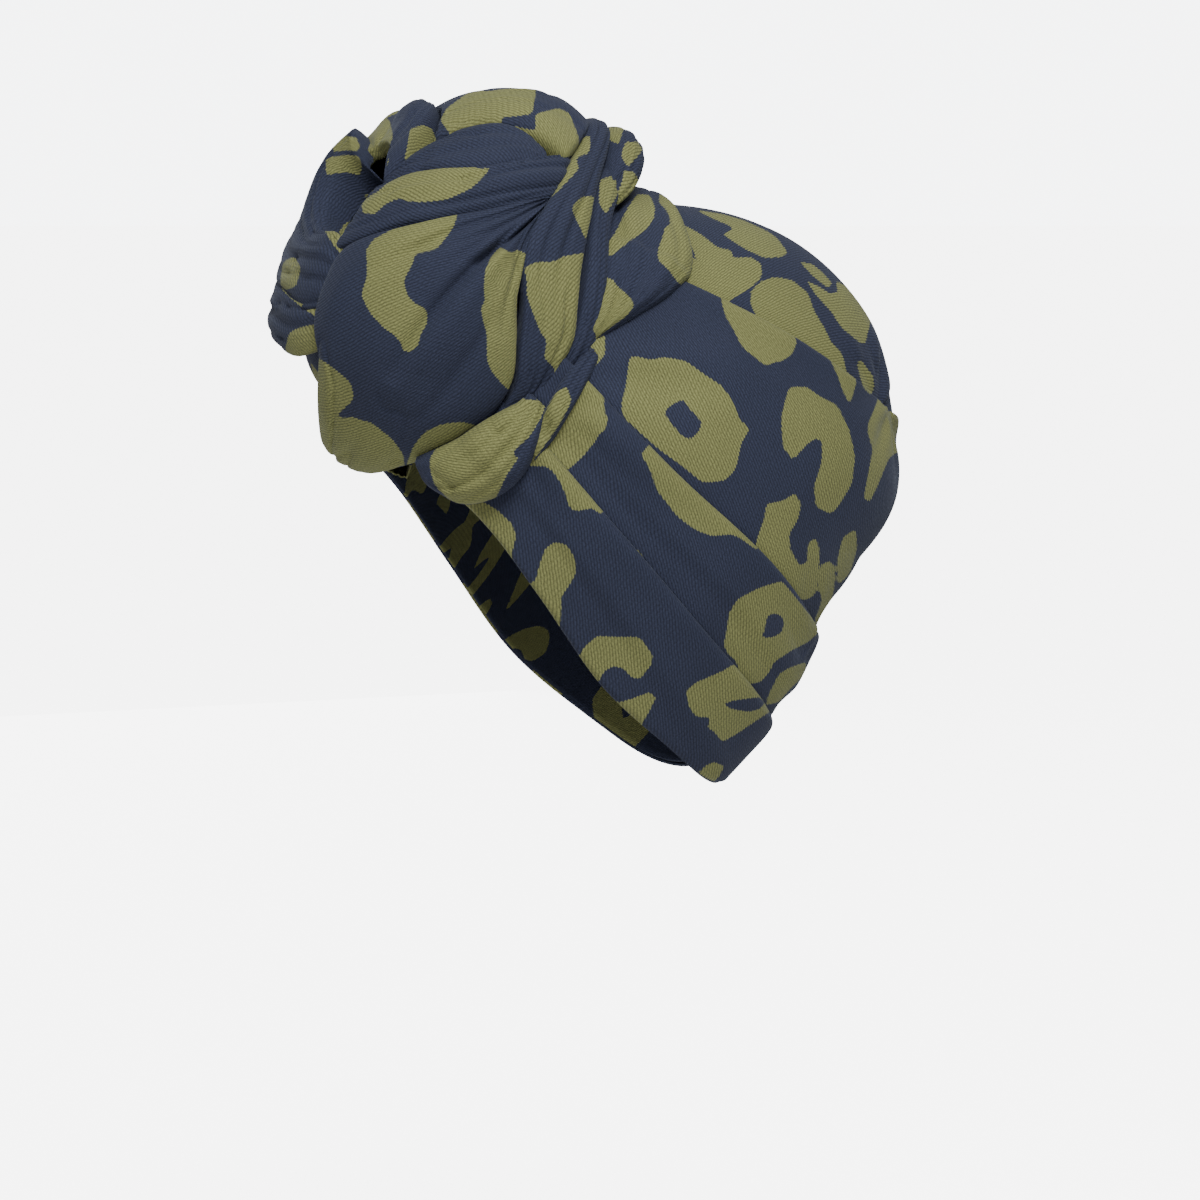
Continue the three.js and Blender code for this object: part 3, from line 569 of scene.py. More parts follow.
KNOT_FOLDS = {
    "long_band": [
        (33, 77, 54, 80, 0.04),
        (47, 64, 70, 65.5, 0.07),
        (59, 52, 88, 50, 0.08),
        (65, 38, 100, 41, 0.08),
        (70, 27, 122, 33, 0.07),
        (85, 16, 140, 28, 0.04),
    ],
    "rope_inner": [
        (340, 80, 340, 92, 0.12),
        (371, 78, 371, 89, 0.21),
        (395, 77, 397, 90, 0.09),
        (415, 77, 416, 94, 0.08),
        (430, 78, 428, 99, 0.08),
        (440, 83, 437, 105, 0.07),
        (448, 92, 445, 111, 0.06),
        (458, 100, 453, 113.5, 0.05),
        (468, 108, 461, 114.5, 0.04),
        (478, 110.5, 472, 116, 0.03),
    ],
    "rope_outer": [
        (200, 106, 200, 120, 0.09),
        (235, 104, 235, 119, 0.10),
        (270, 100, 270, 116, 0.10),
        (305, 96, 305, 112, 0.10),
        (340, 92, 340, 106, 0.10),
        (370, 91.5, 374, 100, 0.09),
        (396, 90, 398, 98, 0.07),
        (414, 94, 413, 101, 0.07),
        (428, 101, 426, 109, 0.07),
        (439, 107.5, 437, 116, 0.06),
        (448, 112, 448, 119, 0.05),
        (458, 114.5, 459, 120.5, 0.04),
        (468, 116, 468, 123, 0.03),
    ],
    "lobe": [
        (57, 76, 60, 77.5, 0.02),
        (71, 64, 73, 80, 0.05),
        (88, 49, 86, 88, 0.10),
        (109, 36, 97, 98, 0.12),
        (130, 33, 107, 106, 0.12),
        (147, 45, 122, 110, 0.12),
        (153, 60, 137, 109, 0.11),
        (167, 76, 150, 107, 0.11),
        (184, 89, 166, 105, 0.11),
        (200, 95, 186, 105, 0.05),
    ],
    "dome_fold": [
        (40, 68, 48, 72, 0.02),
        (35, 59, 52, 62, 0.06),
        (31, 50, 62, 52, 0.08),
        (33, 42, 68, 40, 0.08),
        (38, 34, 72, 30, 0.06),
        (50, 22, 82, 18, 0.03),
    ],
    "curl": [
        (312, 25, 345, 8, 0.27),
        (285, 26, 280, 8, 0.25),
        (255, 27, 232, 9, 0.17),
        (222, 26, 182, 12, 0.09),
        (186, 26, 142, 20, 0.04),
    ],
    "top_left_fold": [
        (296, 46, 347, 36, 0.18),
        (288, 33, 392, 26, 0.20),
        (286, 20, 418, 24, 0.16),
        (294, 9, 440, 20, 0.11),
    ],
    "top_fold": [
        (350, 86, 400, 76, 0.15),
        (338, 72, 396, 62, 0.19),
        (330, 57, 393, 50, 0.16),
        (328, 45, 395, 40, 0.14),
        (330, 36, 401, 30, 0.11),
    ],
    "left_upper_fold": [
        (290, 46, 268, 20, 0.09),
        (250, 48, 242, 18, 0.12),
        (215, 42, 208, 16, 0.09),
        (182, 38, 172, 16, 0.07),
        (155, 44, 136, 21, 0.06),
        (140, 46, 126, 33, 0.02),
    ],
    "left_lower_fold": [
        (300, 70, 292, 44, 0.06),
        (260, 66, 252, 42, 0.08),
        (222, 58, 216, 36, 0.08),
        (190, 53, 186, 34, 0.07),
        (165, 57, 161, 38, 0.05),
        (148, 57, 144, 44, 0.02),
    ],
    "top_right_fold": [
        (332, 84, 332, 100, 0.12),
        (354, 84, 354, 101, 0.21),
        (372, 86, 374, 101, 0.29),
        (385, 90, 387, 101, 0.17),
        (396, 93, 397, 99, 0.06),
    ],
    "far_lobe": [
        (200, 96, 198, 106, 0.01),
        (218, 84, 216, 106, 0.03),
        (240, 70, 238, 105, 0.08),
        (270, 56, 270, 102, 0.12),
        (302, 48, 305, 97, 0.10),
        (328, 54, 335, 92, 0.07),
        (346, 66, 352, 86, 0.03),
    ],
}

FOOT_FOLDS = {
    "strand": [
        (122, 84, 119, 85, 0.04),
        (121.5, 92, 116.5, 93, 0.10),
        (120.5, 98, 115, 100, 0.11),
        (119, 104, 114, 106, 0.09),
        (116, 111, 114, 112, 0.04),
    ],
    "tail": [
        (125, 100, 119, 101, 0.05),
        (126, 104, 116, 108, 0.15),
        (129, 110, 114, 116, 0.20),
        (132, 116, 116, 124, 0.21),
        (137, 122, 123, 130, 0.18),
        (143, 127, 136, 131, 0.10),
    ],
    "puff": [
        (232, 62, 222, 54, 0.05),
        (215, 54, 206, 42, 0.09),
        (190, 50, 182, 35, 0.11),
        (170, 53, 152, 38, 0.13),
        (151, 62, 131, 47, 0.16),
        (139, 70, 121, 55, 0.17),
        (131, 77, 119, 63, 0.14),
        (126, 81, 120, 72, 0.10),
        (124, 85, 122, 82, 0.04),
    ],
}

# Wrinkles along a fold: where it starts and ends along the fold, its place across the
# fold at both ends (edge -1 to edge 1), its width across and its height in millimetres
FOLD_WRINKLES = {
    "lobe": [
        (0.02, 0.26, 0.60, 0.08, 0.07, -4.6),
        (0.12, 0.54, 0.16, 0.12, 0.07, -4.6),
        (0.12, 0.50, 0.34, 0.32, 0.14, 1.6),
        (0.00, 0.40, -0.45, -0.5, 0.08, -1.3),
        (0.00, 0.36, 0.75, 0.82, 0.07, -1.8),
        (0.30, 0.62, 0.70, 0.50, 0.06, -1.4),
        (0.10, 0.80, -0.7, -0.6, 0.14, 0.6),
        (0.30, 0.95, 0.1, 0.15, 0.30, 0.8),
    ],
    "long_band": [
        (0.00, 0.80, 0.1, -0.1, 0.18, 1.2),
        (0.00, 0.55, 0.5, 0.45, 0.08, -1.5),
        (0.00, 0.45, -0.35, -0.4, 0.08, -1.2),
    ],
    "rope_inner": [
        (0.22, 0.72, 0.35, 0.1, 0.1, -1.8),
        (0.30, 0.80, -0.5, -0.2, 0.09, -1.5),
        (0.50, 1.00, 0.6, 0.4, 0.1, -1.4),
    ],
    "dome_fold": [(0.0, 0.7, 0.1, 0.3, 0.1, -1.1), (0.2, 1.0, -0.4, -0.2, 0.1, -0.9)],
    "curl": [(0.05, 0.75, 0.35, 0.45, 0.12, -2.2), (0.1, 0.6, -0.3, -0.2, 0.1, -1.2)],
    "top_left_fold": [(0.0, 0.9, 0.55, 0.4, 0.09, -1.8), (0.1, 1.0, -0.1, -0.2, 0.1, -1.2)],
    "top_fold": [(0.0, 0.8, -0.2, 0.2, 0.12, -1.4), (0.1, 0.9, 0.5, 0.4, 0.1, -0.9)],
    "far_lobe": [
        (0.0, 0.6, 0.2, 0.3, 0.12, -1.4),
        (0.4, 1.0, -0.4, -0.1, 0.14, -1.6),
        (0.5, 1.0, 0.4, 0.1, 0.12, -1.2),
    ],
    "left_upper_fold": [(0.2, 1.0, 0.0, 0.1, 0.14, -1.0)],
    "left_lower_fold": [(0.2, 1.0, 0.1, -0.1, 0.14, -1.0)],
    "tail": [
        (0.0, 0.9, 0.0, 0.35, 0.09, -2.2),
        (0.0, 0.7, -0.4, -0.3, 0.08, -1.6),
        (0.1, 0.8, 0.45, 0.75, 0.09, -1.4),
    ],
    "strand": [(0.1, 0.9, 0.1, 0.0, 0.12, -1.0)],
    "puff": [
        (0.30, 1.00, 0.2, 0.0, 0.12, -2.0),
        (0.45, 1.00, -0.4, -0.1, 0.10, -1.6),
        (0.20, 0.75, 0.6, 0.7, 0.09, -1.4),
    ],
}


# Cloth sheets

NOISE_WAVES = 6


def soft_noise(points, size, seed):
    """Slow smooth variation from -1 to 1 over points in millimetres."""
    rng = np.random.default_rng(seed)
    total = np.zeros(points.shape[:-1])
    for _ in range(NOISE_WAVES):
        wave = unit(rng.normal(size=3)) * 2 * math.pi / (size * rng.uniform(0.7, 1.5))
        total += np.sin(points @ wave + rng.uniform(0, 2 * math.pi))
    return total / NOISE_WAVES


def deselect_all():
    if bpy.context.object and bpy.context.object.mode != "OBJECT":
        bpy.ops.object.mode_set(mode="OBJECT")
    bpy.ops.object.select_all(action="DESELECT")


def pick(piece):
    """Selects one piece alone, for the steps that follow."""
    deselect_all()
    piece.select_set(True)
    bpy.context.view_layer.objects.active = piece


def cloth_grid(name, along, across, place, cloth_uv=None, closed=False):
    """A sheet of cloth: a flat grid whose points are moved to place(u, v), in millimetres."""
    deselect_all()
    bpy.ops.mesh.primitive_grid_add(x_subdivisions=along, y_subdivisions=across, size=1)
    piece = bpy.context.object
    piece.name = name + "_cloth"
    mesh = piece.data
    mesh.name = piece.name
    flat = np.zeros(len(mesh.vertices) * 3)
    mesh.vertices.foreach_get("co", flat)
    flat = flat.reshape(-1, 3)
    column = np.rint((flat[:, 0] + 0.5) * along).astype(int)
    row = np.rint((flat[:, 1] + 0.5) * across).astype(int)
    u, v = np.meshgrid(np.linspace(0, 1, along + 1), np.linspace(0, 1, across + 1), indexing="ij")
    shaped = place(u, v)
    points = shaped[column, row]
    mesh.vertices.foreach_set("co", (points * MM).ravel())
    mesh.update()
    grain = np.stack([walked(shaped, 0), walked(shaped, 1)], axis=-1)
    length = np.ptp(grain[..., 0], axis=0).mean()
    width = np.ptp(grain[..., 1], axis=1).mean()
    grain -= grain.min(axis=(0, 1))
    if cloth_uv is not None:
        grain = cloth_uv(shaped)
    layer = mesh.uv_layers.active.data
    corner = np.zeros(len(mesh.loops), int)
    mesh.loops.foreach_get("vertex_index", corner)
    vertex_grain = grain[column, row]
    layer.foreach_set("uv", (vertex_grain[corner] * MM).ravel())
    normal = grid_normals(shaped)[column, row]
    inside = KNOT_CENTRE if name in KNOT_FOLDS else head_centre
    if np.sum(normal * (points - inside), axis=1).mean() < 0:
        normal = -normal
    store_print(mesh, name, points, normal, vertex_grain)
    store_selvage(mesh, name, column / along, row / across, width)
    polygon = mesh.polygons[len(mesh.polygons) // 2]
    middle = normal[list(polygon.vertices)].mean(axis=0)
    turned = np.array(polygon.normal) @ middle < 0
    bpy.ops.object.mode_set(mode="EDIT")
    bpy.ops.mesh.select_all(action="SELECT")
    if turned:
        bpy.ops.mesh.flip_normals()
    if closed:
        bpy.ops.mesh.remove_doubles(threshold=1e-5)
    bpy.ops.object.mode_set(mode="OBJECT")
    area = sum(polygon.area for polygon in mesh.polygons)
    cut = [width * MM, length * MM]
    grow = max(1, (area * AREA_SLACK / (cut[0] * cut[1])) ** 0.5)
    return piece, (cut[0] * grow, cut[1] * grow), area


def walked(shaped, axis):
    """How far each point of a sheet lies from its middle line, measured along the cloth."""
    steps = np.linalg.norm(np.diff(shaped, axis=axis), axis=-1)
    start = np.zeros_like(np.take(steps, [0], axis))
    way = np.concatenate([start, np.cumsum(steps, axis=axis)], axis=axis)
    return way - np.take(way, [shaped.shape[axis] // 2], axis)


def grid_normals(shaped):
    """Normals of a sheet with its small creases evened out."""
    along = np.gradient(shaped, axis=0)
    across = np.gradient(shaped, axis=1)
    normal = np.cross(along, across)
    for _ in range(NORMAL_CALM):
        for axis in (0, 1):
            wide = np.pad(normal, [(1, 1) if side == axis else (0, 0) for side in range(3)], "edge")
            before = np.take(wide, range(0, normal.shape[axis]), axis)
            after = np.take(wide, range(2, normal.shape[axis] + 2), axis)
            normal = (before + 2 * normal + after) / 4
    return unit(normal)


def store_print(mesh, name, points, normal, grain):
    values = print_distance(name, points, normal, grain)
    mesh.attributes.new("print", "FLOAT", "POINT").data.foreach_set("value", values)


def store_selvage(mesh, name, u, v, width):
    """How far each point lies from the pale woven edge of the cloth, in millimetres."""
    away = np.full(len(u), FAR_FROM_PRINT)
    if name in SELVAGES:
        start, end, side = SELVAGES[name]
        within = (u > start) & (u < end)
        away[within] = (v[within] - side) * width
    mesh.attributes.new("selvage", "FLOAT", "POINT").data.foreach_set("value", away)


def signed_distance(outline, places):
    """How far places lie inside a closed outline, in the outline's own units."""
    inside = np.zeros(len(places), bool)
    nearest = np.full(len(places), np.inf)
    for start, end in zip(outline, np.roll(outline, -1, axis=0)):
        along = end - start
        away = places - start
        share = np.clip(away @ along / max(along @ along, 1e-9), 0, 1)
        nearest = np.minimum(nearest, np.linalg.norm(away - share[:, None] * along, axis=1))
        crosses = (start[1] > places[:, 1]) != (end[1] > places[:, 1])
        rise = along[1] if along[1] else 1e-9
        inside ^= crosses & (away[:, 0] < along[0] * away[:, 1] / rise)
    return np.where(inside, nearest, -nearest)


def read_outline(text):
    """A closed outline's points, with its corners rounded off."""
    line = np.array([[float(part) for part in pair.split(",")] for pair in text.split()])
    for _ in range(CORNER_ROUNDS):
        following = np.roll(line, -1, axis=0)
        near = (1 - CORNER_CUT) * line + CORNER_CUT * following
        far = CORNER_CUT * line + (1 - CORNER_CUT) * following
        line = np.stack([near, far], axis=1).reshape(-1, 2)
    return line


def add_motif(values, outlines, places, scale):
    """Adds a shape of the print, the first outline less the others, to the distances."""
    reach = FAR_FROM_PRINT / scale
    low = outlines[0].min(axis=0) - reach
    high = outlines[0].max(axis=0) + reach
    near = np.all((places > low) & (places < high), axis=1)
    if near.any():
        found = signed_distance(outlines[0], places[near])
        for hole in outlines[1:]:
            found = np.minimum(found, -signed_distance(hole, places[near]))
        values[near] = np.maximum(values[near], found * scale)


def solid_shapes():
    """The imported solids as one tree, to tell what hides what."""
    corners, faces = [], []
    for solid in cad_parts.values():
        start = len(corners)
        corners.extend(vertex.co[:] for vertex in solid.data.vertices)
        faces.extend([start + corner for corner in face.vertices] for face in solid.data.polygons)
    return BVHTree.FromPolygons(corners, faces)


def hidden(points, normal, facing):
    """True where the photograph doesn't show a point, because it faces away or lies behind."""
    behind = facing < FACING_LEAST
    starts = (points + normal * HIDE_CLEARANCE) * MM
    towards = unit(camera_place * MM - starts)
    for spot in np.flatnonzero(~behind):
        hit = solids.ray_cast(starts[spot].tolist(), towards[spot].tolist(), HIDE_REACH)
        behind[spot] = hit[0] is not None
    return behind


def print_distance(name, points, normal, grain):
    """How far each point lies inside the print's green shapes, in millimetres."""
    facing = np.sum(unit(camera_place - points) * normal, axis=1)
    seen = pixels(points)
    charted = np.full(len(points), -FAR_FROM_PRINT)
    for motif in PHOTO_PRINT.get(name, []):
        add_motif(charted, [read_outline(text) for text in motif], seen, PIXEL_MM)
    unseen = hidden(points, normal, facing)
    charted = np.where(unseen & (facing < FACING_LEAST), -FAR_FROM_PRINT, charted)
    charted = np.minimum(charted, facing * SILHOUETTE_FADE)
    values = charted.copy()
    size = grain.max(axis=0)
    for piece, number, along, across, turn in REPEAT:
        shape = [read_outline(text) for text in PHOTO_PRINT[piece][number]]
        middle = shape[0].mean(axis=0)
        cosine, sine = math.cos(math.radians(turn)), math.sin(math.radians(turn))
        spin = np.array([[cosine, sine], [-sine, cosine]])
        shape = [(line - middle) * PIXEL_MM @ spin for line in shape]
        for column in range(-1, int(size[0] / REPEAT_SIZE[0]) + 2):
            for row in range(-1, int(size[1] / REPEAT_SIZE[1]) + 2):
                place = np.array([along, across]) + np.array([column, row]) * REPEAT_SIZE
                repeated = np.full(len(points), -FAR_FROM_PRINT)
                add_motif(repeated, [line + place for line in shape], grain, 1)
                within = repeated > 0
                clash = ~unseen[within] | (charted[within] > -REPEAT_SPACE)
                if within.any() and clash.mean() < REPEAT_CLASH:
                    kept = np.minimum(repeated, np.where(unseen, FAR_FROM_PRINT, -REPEAT_EDGE))
                    values = np.maximum(values, kept)
    return values


def finish_cloth(piece, thickness=CLOTH):
    """Gives a sheet its thickness and its finish."""
    pick(piece)
    wall = piece.modifiers.new("thickness", "SOLIDIFY")
    wall.thickness = thickness * MM
    wall.offset = -1
    wall.use_rim = True
    bpy.ops.object.modifier_apply(modifier=wall.name)
    give_finish(piece)


def give_finish(piece):
    pick(piece)
    bpy.ops.object.shade_smooth()
    piece.data.materials.clear()
    piece.data.materials.append(printed_cloth)
    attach(piece, "root")


# Materials

NAVY = (0.0235, 0.0285, 0.053, 1)
GREEN = (0.17, 0.176, 0.066, 1)
SELVAGE = (0.22, 0.235, 0.22, 1)
THREAD_PITCH = 1.3  # millimetres
EDGE_RAGGED = 0.5
EDGE_SOFT = 0.16
SELVAGE_WIDTH = (0.55, 0.3)
DYE_AMOUNT = 0.3
DYE_CLOUDS = 28
RIB_SLANT = 0.6
RIB_WANDER = 0.0012
RIB_WANDER_SCALE = 160
THREAD_SHARE = 0.42
THREAD_STEP = 0.37
THREAD_ROUND = 0.45
SPECKLE_SCALE = 1500
SPECKLE_RANGE = (0.9, 0.1)
# How much painted shade the weave puts into the grooves between its threads
WEAVE_GROOVE_SHADE = 0.62
WEAVE_STRENGTH = 0.45
WEAVE_DEPTH = 0.0004


def node(tree, kind, place, **settings):
    made = tree.nodes.new(kind)
    made.location = place
    for key, value in settings.items():
        setattr(made, key, value)
    return made


def sums(tree, kind, place, *values):
    """A Math node; a value is a number or another node's output."""
    made = node(tree, "ShaderNodeMath", place, operation=kind)
    for socket, value in zip(made.inputs, values):
        if isinstance(value, (int, float)):
            socket.default_value = value
        else:
            tree.links.new(value, socket)
    return made.outputs[0]


def new_group(name, inputs, outputs):
    """A node group with its inputs and outputs, each with the kind of its socket."""
    group = bpy.data.node_groups.new(name, "ShaderNodeTree")
    for way, sockets in (("INPUT", inputs), ("OUTPUT", outputs)):
        for label, kind in sockets.items():
            group.interface.new_socket(label, in_out=way, socket_type="NodeSocket" + kind)
    source = node(group, "NodeGroupInput", (-1400, 0))
    return group, source, node(group, "NodeGroupOutput", (800, 0))


def twill_group():
    """Slanted ribs of a twill, each rib broken into threads, from a UV map in metres. Its Shade is
    painted shade, darker in the low grooves between the threads, with a random speckle of thread
    tone.
    """
    inputs = {"Cloth": "Vector", "Pitch mm": "Float"}
    outputs = {"Height": "Float", "Shade": "Float"}
    group, source, out = new_group("twill_weave", inputs, outputs)
    wobble = node(group, "ShaderNodeTexNoise", (-1200, -400))
    wobble.inputs["Scale"].default_value = RIB_WANDER_SCALE
    group.links.new(source.outputs["Cloth"], wobble.inputs["Vector"])
    speckle = node(group, "ShaderNodeTexNoise", (-1200, -700))
    speckle.inputs["Scale"].default_value = SPECKLE_SCALE
    speckle.inputs["Detail"].default_value = 1
    group.links.new(source.outputs["Cloth"], speckle.inputs["Vector"])
    split = node(group, "ShaderNodeSeparateXYZ", (-1200, 0))
    group.links.new(source.outputs["Cloth"], split.inputs[0])
    x, y = split.outputs["X"], split.outputs["Y"]
    pitch = sums(group, "MULTIPLY", (-1200, 200), source.outputs["Pitch mm"], MM)
    slant = sums(group, "MULTIPLY_ADD", (-1000, 100), x, RIB_SLANT, y)
    bent = sums(group, "MULTIPLY_ADD", (-900, 0), wobble.outputs["Fac"], RIB_WANDER, slant)
    rib = sums(group, "DIVIDE", (-800, 100), bent, pitch)
    number = sums(group, "FLOOR", (-600, 250), rib)
    back = sums(group, "MULTIPLY", (-1000, -100), y, -RIB_SLANT)
    run = sums(group, "ADD", (-800, -100), x, back)
    span = sums(group, "DIVIDE", (-600, -100), run, pitch)
    thread = sums(group, "MULTIPLY", (-500, -200), span, THREAD_SHARE)
    offset = sums(group, "MULTIPLY_ADD", (-400, 0), number, THREAD_STEP, thread)
    rib_part = sums(group, "FRACT", (-400, 150), rib)
    rib_sweep = sums(group, "MULTIPLY", (-300, 150), rib_part, math.pi)
    rib_round = sums(group, "SINE", (-200, 150), rib_sweep)
    thread_part = sums(group, "FRACT", (-200, 0), offset)
    thread_sweep = sums(group, "MULTIPLY", (-100, 0), thread_part, math.pi)
    thread_round = sums(group, "SINE", (0, 0), thread_sweep)
    low = 1 - THREAD_ROUND
    lifted = sums(group, "MULTIPLY_ADD", (100, 0), thread_round, THREAD_ROUND, low)
    height = sums(group, "MULTIPLY", (250, 100), rib_round, lifted)
    grain = sums(group, "MULTIPLY_ADD", (400, -200), speckle.outputs["Fac"], *SPECKLE_RANGE)
    # Painted shade: darker where the weave is low, in the grooves between threads, plus a random
    # speckle of thread tone
    groove_shade_and_speckle = sums(group, "MULTIPLY_ADD", (550, 0), height, WEAVE_GROOVE_SHADE, grain)
    group.links.new(height, out.inputs["Height"])
    group.links.new(groove_shade_and_speckle, out.inputs["Shade"])
    return group


def dye_group():
    """Slow changes in the depth of the dye over the cloth."""
    inputs = {"Colour": "Color", "Amount": "Float"}
    group, source, out = new_group("dye_variation", inputs, {"Colour": "Color"})
    place = node(group, "ShaderNodeTexCoord", (-900, -300))
    cloud = node(group, "ShaderNodeTexNoise", (-700, -300))
    cloud.inputs["Scale"].default_value = DYE_CLOUDS
    cloud.inputs["Detail"].default_value = 3
    group.links.new(place.outputs["Object"], cloud.inputs["Vector"])
    centred = sums(group, "SUBTRACT", (-500, -300), cloud.outputs["Fac"], 0.5)
    swing = sums(group, "MULTIPLY", (-350, -200), centred, source.outputs["Amount"])
    level = sums(group, "ADD", (-200, -200), swing, 1)
    depth = node(group, "ShaderNodeMix", (0, 0), data_type="RGBA", blend_type="MULTIPLY")
    depth.inputs["Factor"].default_value = 1
    group.links.new(source.outputs["Colour"], depth.inputs["A"])
    group.links.new(level, depth.inputs["B"])
    group.links.new(depth.outputs["Result"], out.inputs["Colour"])
    return group


def make_printed_cloth():
    material = bpy.data.materials.new("printed_cloth")
    material.use_nodes = True
    tree = material.node_tree
    shader = tree.nodes["Principled BSDF"]
    shader.inputs["Roughness"].default_value = 0.88
    shader.inputs["Specular IOR Level"].default_value = 0.22
    shader.inputs["Sheen Weight"].default_value = 0.06
    shader.inputs["Sheen Roughness"].default_value = 0.4
    shader.inputs["Sheen Tint"].default_value = (0.7, 0.8, 1.0, 1)
    cloth = node(tree, "ShaderNodeUVMap", (-1400, -200))
    weave = node(tree, "ShaderNodeGroup", (-1100, -200), node_tree=twill_group())
    weave.inputs["Pitch mm"].default_value = THREAD_PITCH
    printed = node(tree, "ShaderNodeAttribute", (-1100, 200), attribute_name="print")
    edge = node(tree, "ShaderNodeMapRange", (-800, 200))
    edge.inputs["From Min"].default_value = EDGE_RAGGED / 2 - EDGE_SOFT
    edge.inputs["From Max"].default_value = EDGE_RAGGED / 2 + EDGE_SOFT
    colours = node(tree, "ShaderNodeMix", (-600, 200), data_type="RGBA")
    colours.inputs["A"].default_value = NAVY
    colours.inputs["B"].default_value = GREEN
    woven_edge = node(tree, "ShaderNodeAttribute", (-1100, 500), attribute_name="selvage")
    from_edge = sums(tree, "ABSOLUTE", (-900, 500), woven_edge.outputs["Fac"])
    thread = node(tree, "ShaderNodeMapRange", (-700, 500))
    thread.inputs["From Min"].default_value = SELVAGE_WIDTH[0]
    thread.inputs["From Max"].default_value = SELVAGE_WIDTH[1]
    edged = node(tree, "ShaderNodeMix", (-500, 350), data_type="RGBA")
    edged.inputs["B"].default_value = SELVAGE
    dye = node(tree, "ShaderNodeGroup", (-400, 200), node_tree=dye_group())
    dye.inputs["Amount"].default_value = DYE_AMOUNT
    # The cloth's colour times the weave's painted groove shade and its thread speckle
    shaded = node(tree, "ShaderNodeMix", (-200, 200), data_type="RGBA", blend_type="MULTIPLY")
    shaded.inputs["Factor"].default_value = 1
    bump = node(tree, "ShaderNodeBump", (-250, -200))
    bump.inputs["Strength"].default_value = WEAVE_STRENGTH
    bump.inputs["Distance"].default_value = WEAVE_DEPTH
    link = tree.links.new
    link(cloth.outputs["UV"], weave.inputs["Cloth"])
    height, inside = weave.outputs["Height"], printed.outputs["Fac"]
    ragged = sums(tree, "MULTIPLY_ADD", (-900, 100), height, EDGE_RAGGED, inside)
    link(ragged, edge.inputs["Value"])
    link(edge.outputs["Result"], colours.inputs["Factor"])
    link(from_edge, thread.inputs["Value"])
    link(thread.outputs["Result"], edged.inputs["Factor"])
    link(colours.outputs["Result"], edged.inputs["A"])
    link(edged.outputs["Result"], dye.inputs["Colour"])
    link(dye.outputs["Colour"], shaded.inputs["A"])
    link(weave.outputs["Shade"], shaded.inputs["B"])
    link(shaded.outputs["Result"], shader.inputs["Base Color"])
    link(weave.outputs["Height"], bump.inputs["Height"])
    link(bump.outputs["Normal"], shader.inputs["Normal"])
    return material


# Pieces

def cap_sheet():
    def place(u, v):
        turn = 360 * u + 180
        hem = edge_slope("rim", turn)
        slope = v * (hem - CAP_HEM)
        from_crown, from_hem = CAP_CREASED
        fade = smooth_step(*from_crown, slope) * (1 - smooth_step(*from_hem, slope - hem))
        lift = CAP_WALL + np.maximum(head_relief(turn, slope), -CAP_DIP) * fade
        return head_point(turn, slope, lift)

    def grain(points):
        away = unit(points - head_centre)
        slope = np.arccos(np.clip(away @ crown_axis, -1, 1)) * CROWN_RADIUS
        flat = unit(np.stack([away @ left_axis, away @ nape_axis], axis=-1))
        return flat * slope[..., None] + CROWN_RADIUS * math.pi

    piece, _, area = cloth_grid("crown_cap", *CAP_GRID, place, grain, closed=True)
    finish_cloth(piece, CAP_CLOTH)
    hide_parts("crown_cap")
    return piece


def wrap_sheet(name):
    top, bottom, _ = WRAPS[name]
    reach = 0 if bottom == "rim" else OVERLAP

    def place(u, v):
        turn = 360 * u + 180
        start = edge_slope(top, turn)
        end = edge_slope(bottom, turn) + reach
        slope = start + (end - start) * v**EDGE_CROWDING
        below = (slope - start) * CREASE_DEGREE
        rolled = np.sqrt(1 - np.clip(1 - below / EDGE_ROLL, 0, 1) ** 2)
        rise = np.exp(-(((below - EDGE_RISE_PLACE) / EDGE_RISE_REACH) ** 2))
        roll = EDGE_ROLL * (rolled - 1) + EDGE_RISE * rise
        if reach:
            hem = 0
            under = smooth_step(end - reach, end, slope)
        else:
            hem = -HEM_DROP * smooth_step(HEM_REACH, 0, (end - slope) * CREASE_DEGREE)
            under = 0
        relief = np.maximum(head_relief(turn, slope), 0.2 - WRAP_CLOTH) * (1 - under)
        lift = wrap_lift(name, turn, slope) + roll + hem + relief
        ripple = soft_noise(bare_head(turn, slope), WRAP_RIPPLE_SIZE, len(name))
        return head_point(turn, slope, np.maximum(lift + WRAP_RIPPLE * ripple, FOOTING))

    piece, flat, area = cloth_grid(name, *WRAP_GRID, place, closed=True)
    finish_cloth(piece, WRAP_CLOTH)
    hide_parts(name)
    return piece


